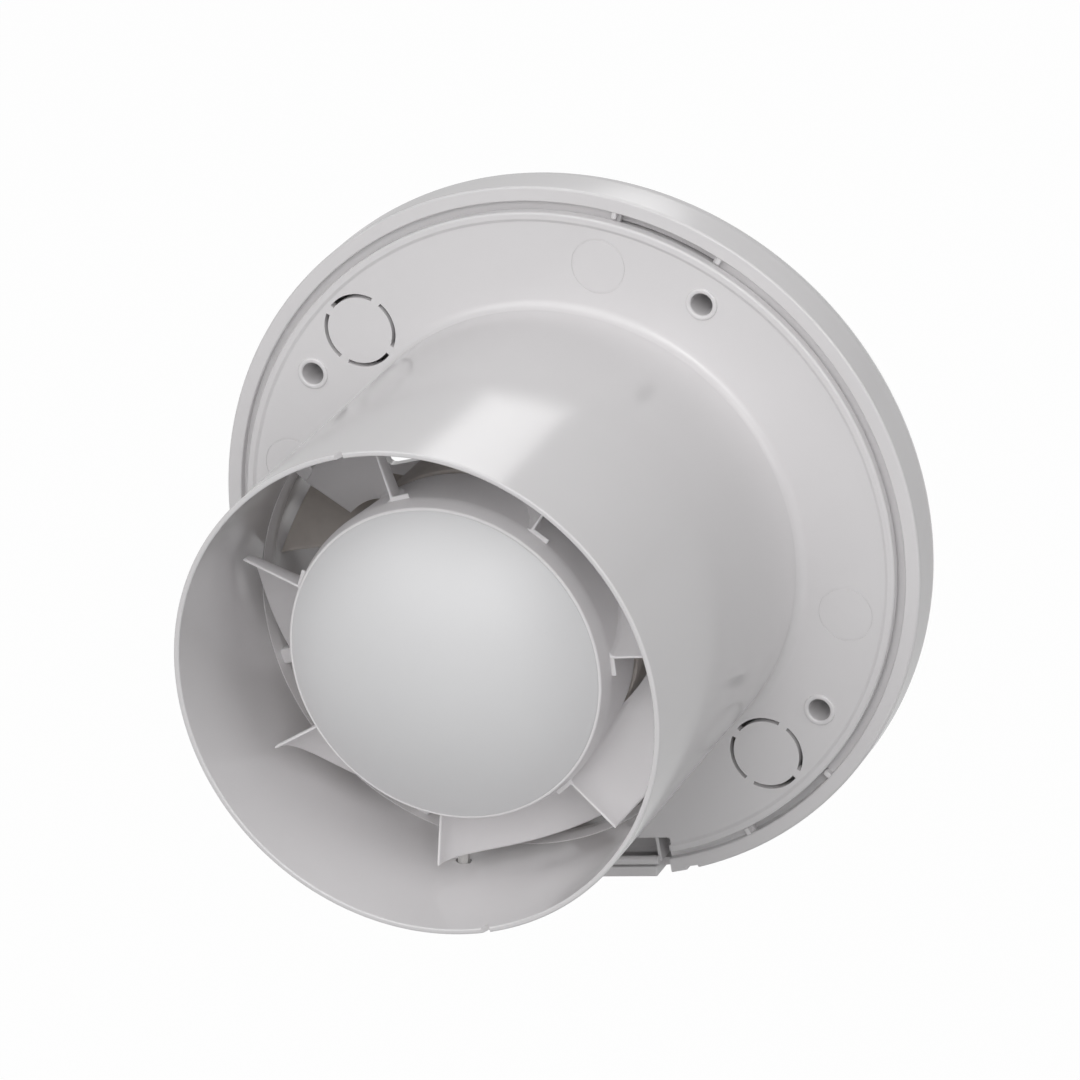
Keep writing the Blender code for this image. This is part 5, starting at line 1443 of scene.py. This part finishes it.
class FAN_OT_front_cover(bpy.types.Operator):
    """Add the front cover: ring, skirt, curved front, ribs and release tab"""

    bl_idname = "fan.front_cover"
    bl_label = "Front cover"

    def execute(self, context):
        sizes = context.scene.fan_sizes
        outer = sizes.cover_radius / MM
        inner = outer - RING_WIDTH
        ring = rounded(
            [
                (inner, -6.0, 0.0),
                (inner, COVER_BACK, 0.35),
                (outer, COVER_BACK, 0.5),
                (outer, -6.0, 0.0),
            ]
        )
        lip = np.array(
            [
                [COVER_LIP_RADIUS - 0.2, COVER_FRONT + 0.06],
                [COVER_LIP_RADIUS - 0.3, COVER_FRONT + 0.25],
                [COVER_LIP_RADIUS - 0.3, COVER_FRONT + COVER_WALL - 0.25],
                [COVER_LIP_RADIUS - 0.2, COVER_FRONT + COVER_WALL - 0.06],
            ]
        )
        outline = np.concatenate(
            [ring, cover_curve(outer, 0.0), lip, cover_curve(inner, COVER_WALL)[::-1]]
        )
        half = TAB_WIDTH / 2
        inside = -72.9
        wide = half + TAB_SLIT
        cuts = [
            at_latch(span_block((-wide, wide), (SKIRT_FRONT, 2.0), (inside, -60.0), 0.3)),
            at_latch(span_block((-wide, wide), (-6.5, 2.0), (-78.0, inside + 2.0), 0.2)),
            span_block((-7.2, -4.4), (-5.0, 2.0), (-78.0, -74.0), 0.2),
        ]
        extra = [
            at_latch(span_block((-half, half), (-10.1, COVER_BACK), (-75.08, inside), 0.3)),
            at_latch(span_block((-11.4, 11.4), (-10.6, -9.6), (-72.5, -66.2), 0.2)),
        ]
        plate = sizes.plate_radius / MM
        for pair in RIB_PAIRS:
            for side in (-1, 1):
                angle = pair + side * RIB_SPREAD
                width = inner + 0.6 - plate - 0.3
                middle = plate + 0.3 + width / 2
                extra.append(
                    bar(
                        block_section(width, 1.1, 0.3),
                        polar(middle, angle, -7.5),
                        polar(middle, angle, COVER_BACK - 0.3),
                        outward(angle),
                        0.25,
                    )
                )
        arcs = [(LEDGE, *arc) for arc in LEDGE_ARCS]
        arcs += [(LEDGE_LOW, pair - RIB_SPREAD, pair + RIB_SPREAD) for pair in RIB_PAIRS]
        for depths, start, end in arcs:
            extra.append(arc_bar(plate - LEDGE_UNDER, inner + 0.6, depths, start, end))
        for angle in PEG_ANGLES:
            place = polar(PEG_CIRCLE, angle, 0.0)
            cuts.append(rod(2.8, -24.0, -13.0, place[0], place[2], 0.0))
            socket = rounded(
                [(2.8, -20.6, 0.0), (4.2, -20.6, 0.0), (4.2, -15.4, 0.3), (2.8, -15.4, 0.2)]
            )
            extra.append(turned_at(place, socket, 48))
        make_piece(
            "front_cover_shell",
            [turned(outline)],
            gloss_abs(context.scene.fan_colours),
            "cover",
            ["front_cover"],
            cuts,
            extra,
        )
        return {"FINISHED"}


def panel_slots():
    """Level rows of slots that end on a circle, with two struts left across them."""
    near, far = PANEL_STRUTS
    half = PANEL_SLOT_HEIGHT / 2
    slots = []
    for row in range(-5, 5):
        z = (row + 0.5) * PANEL_SLOT_PITCH
        end = math.sqrt(PANEL_SLOT_REACH**2 - (abs(z) + half) ** 2)
        spans = [(-near, near)]
        if end > far + 2.0:
            spans += [(-end, -far), (far, end)]
        for low, high in spans:
            section = block_section(high - low, PANEL_SLOT_HEIGHT, PANEL_SLOT_CORNER)
            x = (low + high) / 2
            slots.append(bar(section, (x, -39.0, z), (x, PANEL_BACK, z), (1, 0, 0), 0.0))
    return slots


class FAN_OT_front_panel(bpy.types.Operator):
    """Add the crowned, slotted front panel on its four pegs"""

    bl_idname = "fan.front_panel"
    bl_label = "Front panel"

    def execute(self, context):
        radius = context.scene.fan_sizes.panel_radius / MM
        rim = radius - 2.4
        floor = PANEL_BACK - 1.4
        face = floor - 2.2
        crown = face - 2.4
        r = np.linspace(0.0, rim, 33)
        sink = np.stack([r, crown + 0.02 + 2.4 * (r / rim) ** 2], axis=-1)
        edge = rounded(
            [
                (rim, face - 0.1, 0.0),
                (radius - 0.8, face + 0.73, 1.2),
                (radius, floor, 0.8),
                (radius - 0.6, PANEL_BACK, 0.4),
                (rim, PANEL_BACK, 0.4),
                (rim, floor + 0.1, 0.0),
            ]
        )[1:-1]
        outline = np.concatenate([sink, edge, (sink + (0.0, 2.2))[::-1]])
        extra = []
        for angle in PEG_ANGLES:
            place = polar(PEG_CIRCLE, angle, 0.0)
            peg = rounded(
                [
                    (0.0, floor - 1.1, 0.0),
                    (3.5, floor - 1.1, 0.0),
                    (3.5, -22.3, 0.3),
                    (2.5, -22.3, 0.1),
                    (2.5, -15.8, 0.5),
                    (0.0, -15.8, 0.0),
                ]
            )
            extra.append(turned_at(place, peg, 48, closed=False))
        make_piece(
            "front_panel_shell",
            [turned(outline, closed=False)],
            gloss_abs(context.scene.fan_colours),
            "panel",
            ["front_panel"],
            panel_slots(),
            extra,
        )
        return {"FINISHED"}


# Finishes of the pieces that keep their CAD shape


class FAN_OT_motor_finishes(bpy.types.Operator):
    """Give the motor's pieces their metal, magnet, winding and rubber finishes"""

    bl_idname = "fan.motor_finishes"
    bl_label = "Motor finishes"

    def execute(self, context):
        numbers = (1, 2, 3)
        zinc = zinc_steel("zinc-plated pressed steel")
        dress(["impeller_nut", "shaft_circlip", "rotor_cup"], zinc, 0.15)
        dress([f"motor_screw_{n}" for n in numbers], zinc, 0.2)
        dress([f"board_screw_{n}" for n in numbers], zinc, 0.15)
        dress([f"terminal_fixing_screw_{n}" for n in (1, 2)], zinc, 0.15)
        ground = ground_steel("ground bearing steel")
        races = [
            f"{end}_bearing_{race}_race" for end in ("front", "rear") for race in ("outer", "inner")
        ]
        dress(["motor_shaft", *races], ground, 0.15)
        dress(["front_bearing_balls", "rear_bearing_balls"], ground)
        dress(["stator_core"], laminated_steel("laminated core steel"))
        dress(["stator_winding"], enamelled_wire("enamelled copper wire"), 0.5)
        dress(["magnet_ring"], ground_ferrite("ground ferrite"), 0.2)
        dress(["motor_base"], cast_aluminium("die-cast aluminium"), 0.3)
        rubber = moulded_rubber("soft moulded rubber")
        dress([f"vibration_mount_{n}" for n in numbers], rubber, 0.3)
        return {"FINISHED"}


class FAN_OT_electric_finishes(bpy.types.Operator):
    """Give the driver board, its parts, the leads and the terminals their finishes"""

    bl_idname = "fan.electric_finishes"
    bl_label = "Electrical finishes"

    def execute(self, context):
        colours = context.scene.fan_colours
        dress(["driver_board"], glass_epoxy(colours), 0.1)
        dress(["filter_capacitor"], sleeve_film("shrunk sleeve film"), 0.5)
        dress(["choke"], bpy.data.materials["enamelled copper wire"], 0.8)
        dress(["rectifier"], black_epoxy("moulded black epoxy"), 0.4)
        nylon = moulded_nylon("natural moulded nylon")
        dress(["board_connector", "terminal_block"], nylon, 0.3)
        dress([f"terminal_screw_{n}" for n in (1, 2, 3)], turned_brass("turned brass"), 0.1)
        dress(["motor_lead", "winding_lead"], pvc_sheath(colours))
        return {"FINISHED"}


# Stage


def area_lamp(name, place, size, power):
    """A round lamp that faces the fan."""
    data = bpy.data.lights.new(name, "AREA")
    data.shape = "DISK"
    data.size = size
    data.energy = power
    lamp = bpy.data.objects.new(name, data)
    bpy.context.collection.objects.link(lamp)
    lamp.location = place
    lamp.rotation_euler = (-Vector(place)).to_track_quat("-Z", "Y").to_euler()
    return lamp


def seen_level(tree):
    """1 to the camera and through clear pieces, less in gloss, and 0 to light that spreads."""
    path = add_node(tree, "ShaderNodeLightPath")
    gloss = add_node(
        tree,
        "ShaderNodeMath",
        {"operation": "MULTIPLY"},
        {0: path.outputs["Is Glossy Ray"], 1: GLOSS_LEVEL},
    )
    straight = add_node(
        tree,
        "ShaderNodeMath",
        {"operation": "MAXIMUM"},
        {0: path.outputs["Is Camera Ray"], 1: path.outputs["Is Transmission Ray"]},
    )
    level = add_node(
        tree,
        "ShaderNodeMath",
        {"operation": "MAXIMUM"},
        {0: gloss.outputs[0], 1: straight.outputs[0]},
    )
    return level.outputs[0]


class FAN_OT_stage(bpy.types.Operator):
    """Add the floor, the soft studio light and the camera"""

    bl_idname = "fan.stage"
    bl_label = "Stage"

    def execute(self, context):
        scene = context.scene
        t = np.linspace(-FLOOR_HALF, FLOOR_HALF, 25)
        x, y = np.meshgrid(t, t)
        points = np.stack([x, y, 0 * x + FLOOR_HEIGHT], axis=-1).reshape(-1, 3)
        mesh = bpy.data.meshes.new("floor")
        mesh.from_pydata(points.tolist(), [], grid_faces(25, 25, False, False)[:, ::-1].tolist())
        floor = bpy.data.objects.new("floor", mesh)
        context.collection.objects.link(floor)
        material = bpy.data.materials.new("matt studio floor")
        material.use_nodes = True
        tree = material.node_tree
        tree.nodes.clear()
        paint = add_node(
            tree,
            "ShaderNodeBsdfDiffuse",
            inputs={"Color": linear(scene.fan_colours.floor), "Roughness": 1.0},
        )
        white = add_node(tree, "ShaderNodeEmission", inputs={"Color": (1, 1, 1, 1)})
        part = add_node(
            tree, "ShaderNodeMath", {"operation": "MULTIPLY"}, {0: seen_level(tree), 1: FLOOR_WHITE}
        )
        shown = add_node(
            tree,
            "ShaderNodeMixShader",
            inputs={0: part.outputs[0], 1: paint.outputs[0], 2: white.outputs[0]},
        )
        add_node(tree, "ShaderNodeOutputMaterial", inputs={"Surface": shown.outputs[0]})
        mesh.materials.append(material)

        world = bpy.data.worlds.new("studio")
        world.use_nodes = True
        scene.world = world
        tree = world.node_tree
        tree.nodes.clear()
        level = add_node(
            tree, "ShaderNodeMath", {"operation": "MAXIMUM"}, {0: seen_level(tree), 1: SPREAD_LEVEL}
        )
        around = add_node(
            tree,
            "ShaderNodeBackground",
            inputs={"Color": (1, 1, 1, 1), "Strength": level.outputs[0]},
        )
        add_node(tree, "ShaderNodeOutputWorld", inputs={"Surface": around.outputs[0]})

        for lamp in LAMPS:
            area_lamp(*lamp)

        data = bpy.data.cameras.new("camera")
        data.sensor_width = CAMERA_SENSOR
        data.lens = CAMERA_LENS
        camera = bpy.data.objects.new("camera", data)
        context.collection.objects.link(camera)
        camera.location = CAMERA_PLACE
        camera.rotation_euler = [math.radians(v) for v in CAMERA_TURN]
        scene.camera = camera
        scene.view_settings.view_transform = "Standard"
        return {"FINISHED"}


STEPS = (
    FAN_OT_stage,
    FAN_OT_rear_housing,
    FAN_OT_guide_vanes,
    FAN_OT_dome_cap,
    FAN_OT_impeller,
    FAN_OT_nose_cap,
    FAN_OT_front_cover,
    FAN_OT_front_panel,
    FAN_OT_motor_finishes,
    FAN_OT_electric_finishes,
)


class FAN_PT_panel(bpy.types.Panel):
    """Lists the fan's sizes, colours and pieces"""

    bl_idname = "FAN_PT_panel"
    bl_label = "Duct exhaust fan"
    bl_space_type = "VIEW_3D"
    bl_region_type = "UI"
    bl_category = "Fan"

    def draw(self, context):
        layout = self.layout
        for group in (context.scene.fan_sizes, context.scene.fan_colours):
            column = layout.column(align=True)
            for name in group.__annotations__:
                column.prop(group, name)
        for step in STEPS:
            layout.operator(step.bl_idname)


CLASSES = (FanSizes, FanColours, *STEPS, FAN_PT_panel)


def register():
    for item in CLASSES:
        bpy.utils.register_class(item)
    bpy.types.Scene.fan_sizes = bpy.props.PointerProperty(type=FanSizes)
    bpy.types.Scene.fan_colours = bpy.props.PointerProperty(type=FanColours)


def unregister():
    del bpy.types.Scene.fan_colours
    del bpy.types.Scene.fan_sizes
    for item in reversed(CLASSES):
        bpy.utils.unregister_class(item)


def main():
    register()
    for step in STEPS:
        group, name = step.bl_idname.split(".")
        getattr(getattr(bpy.ops, group), name)()


if __name__ == "__main__":
    main()
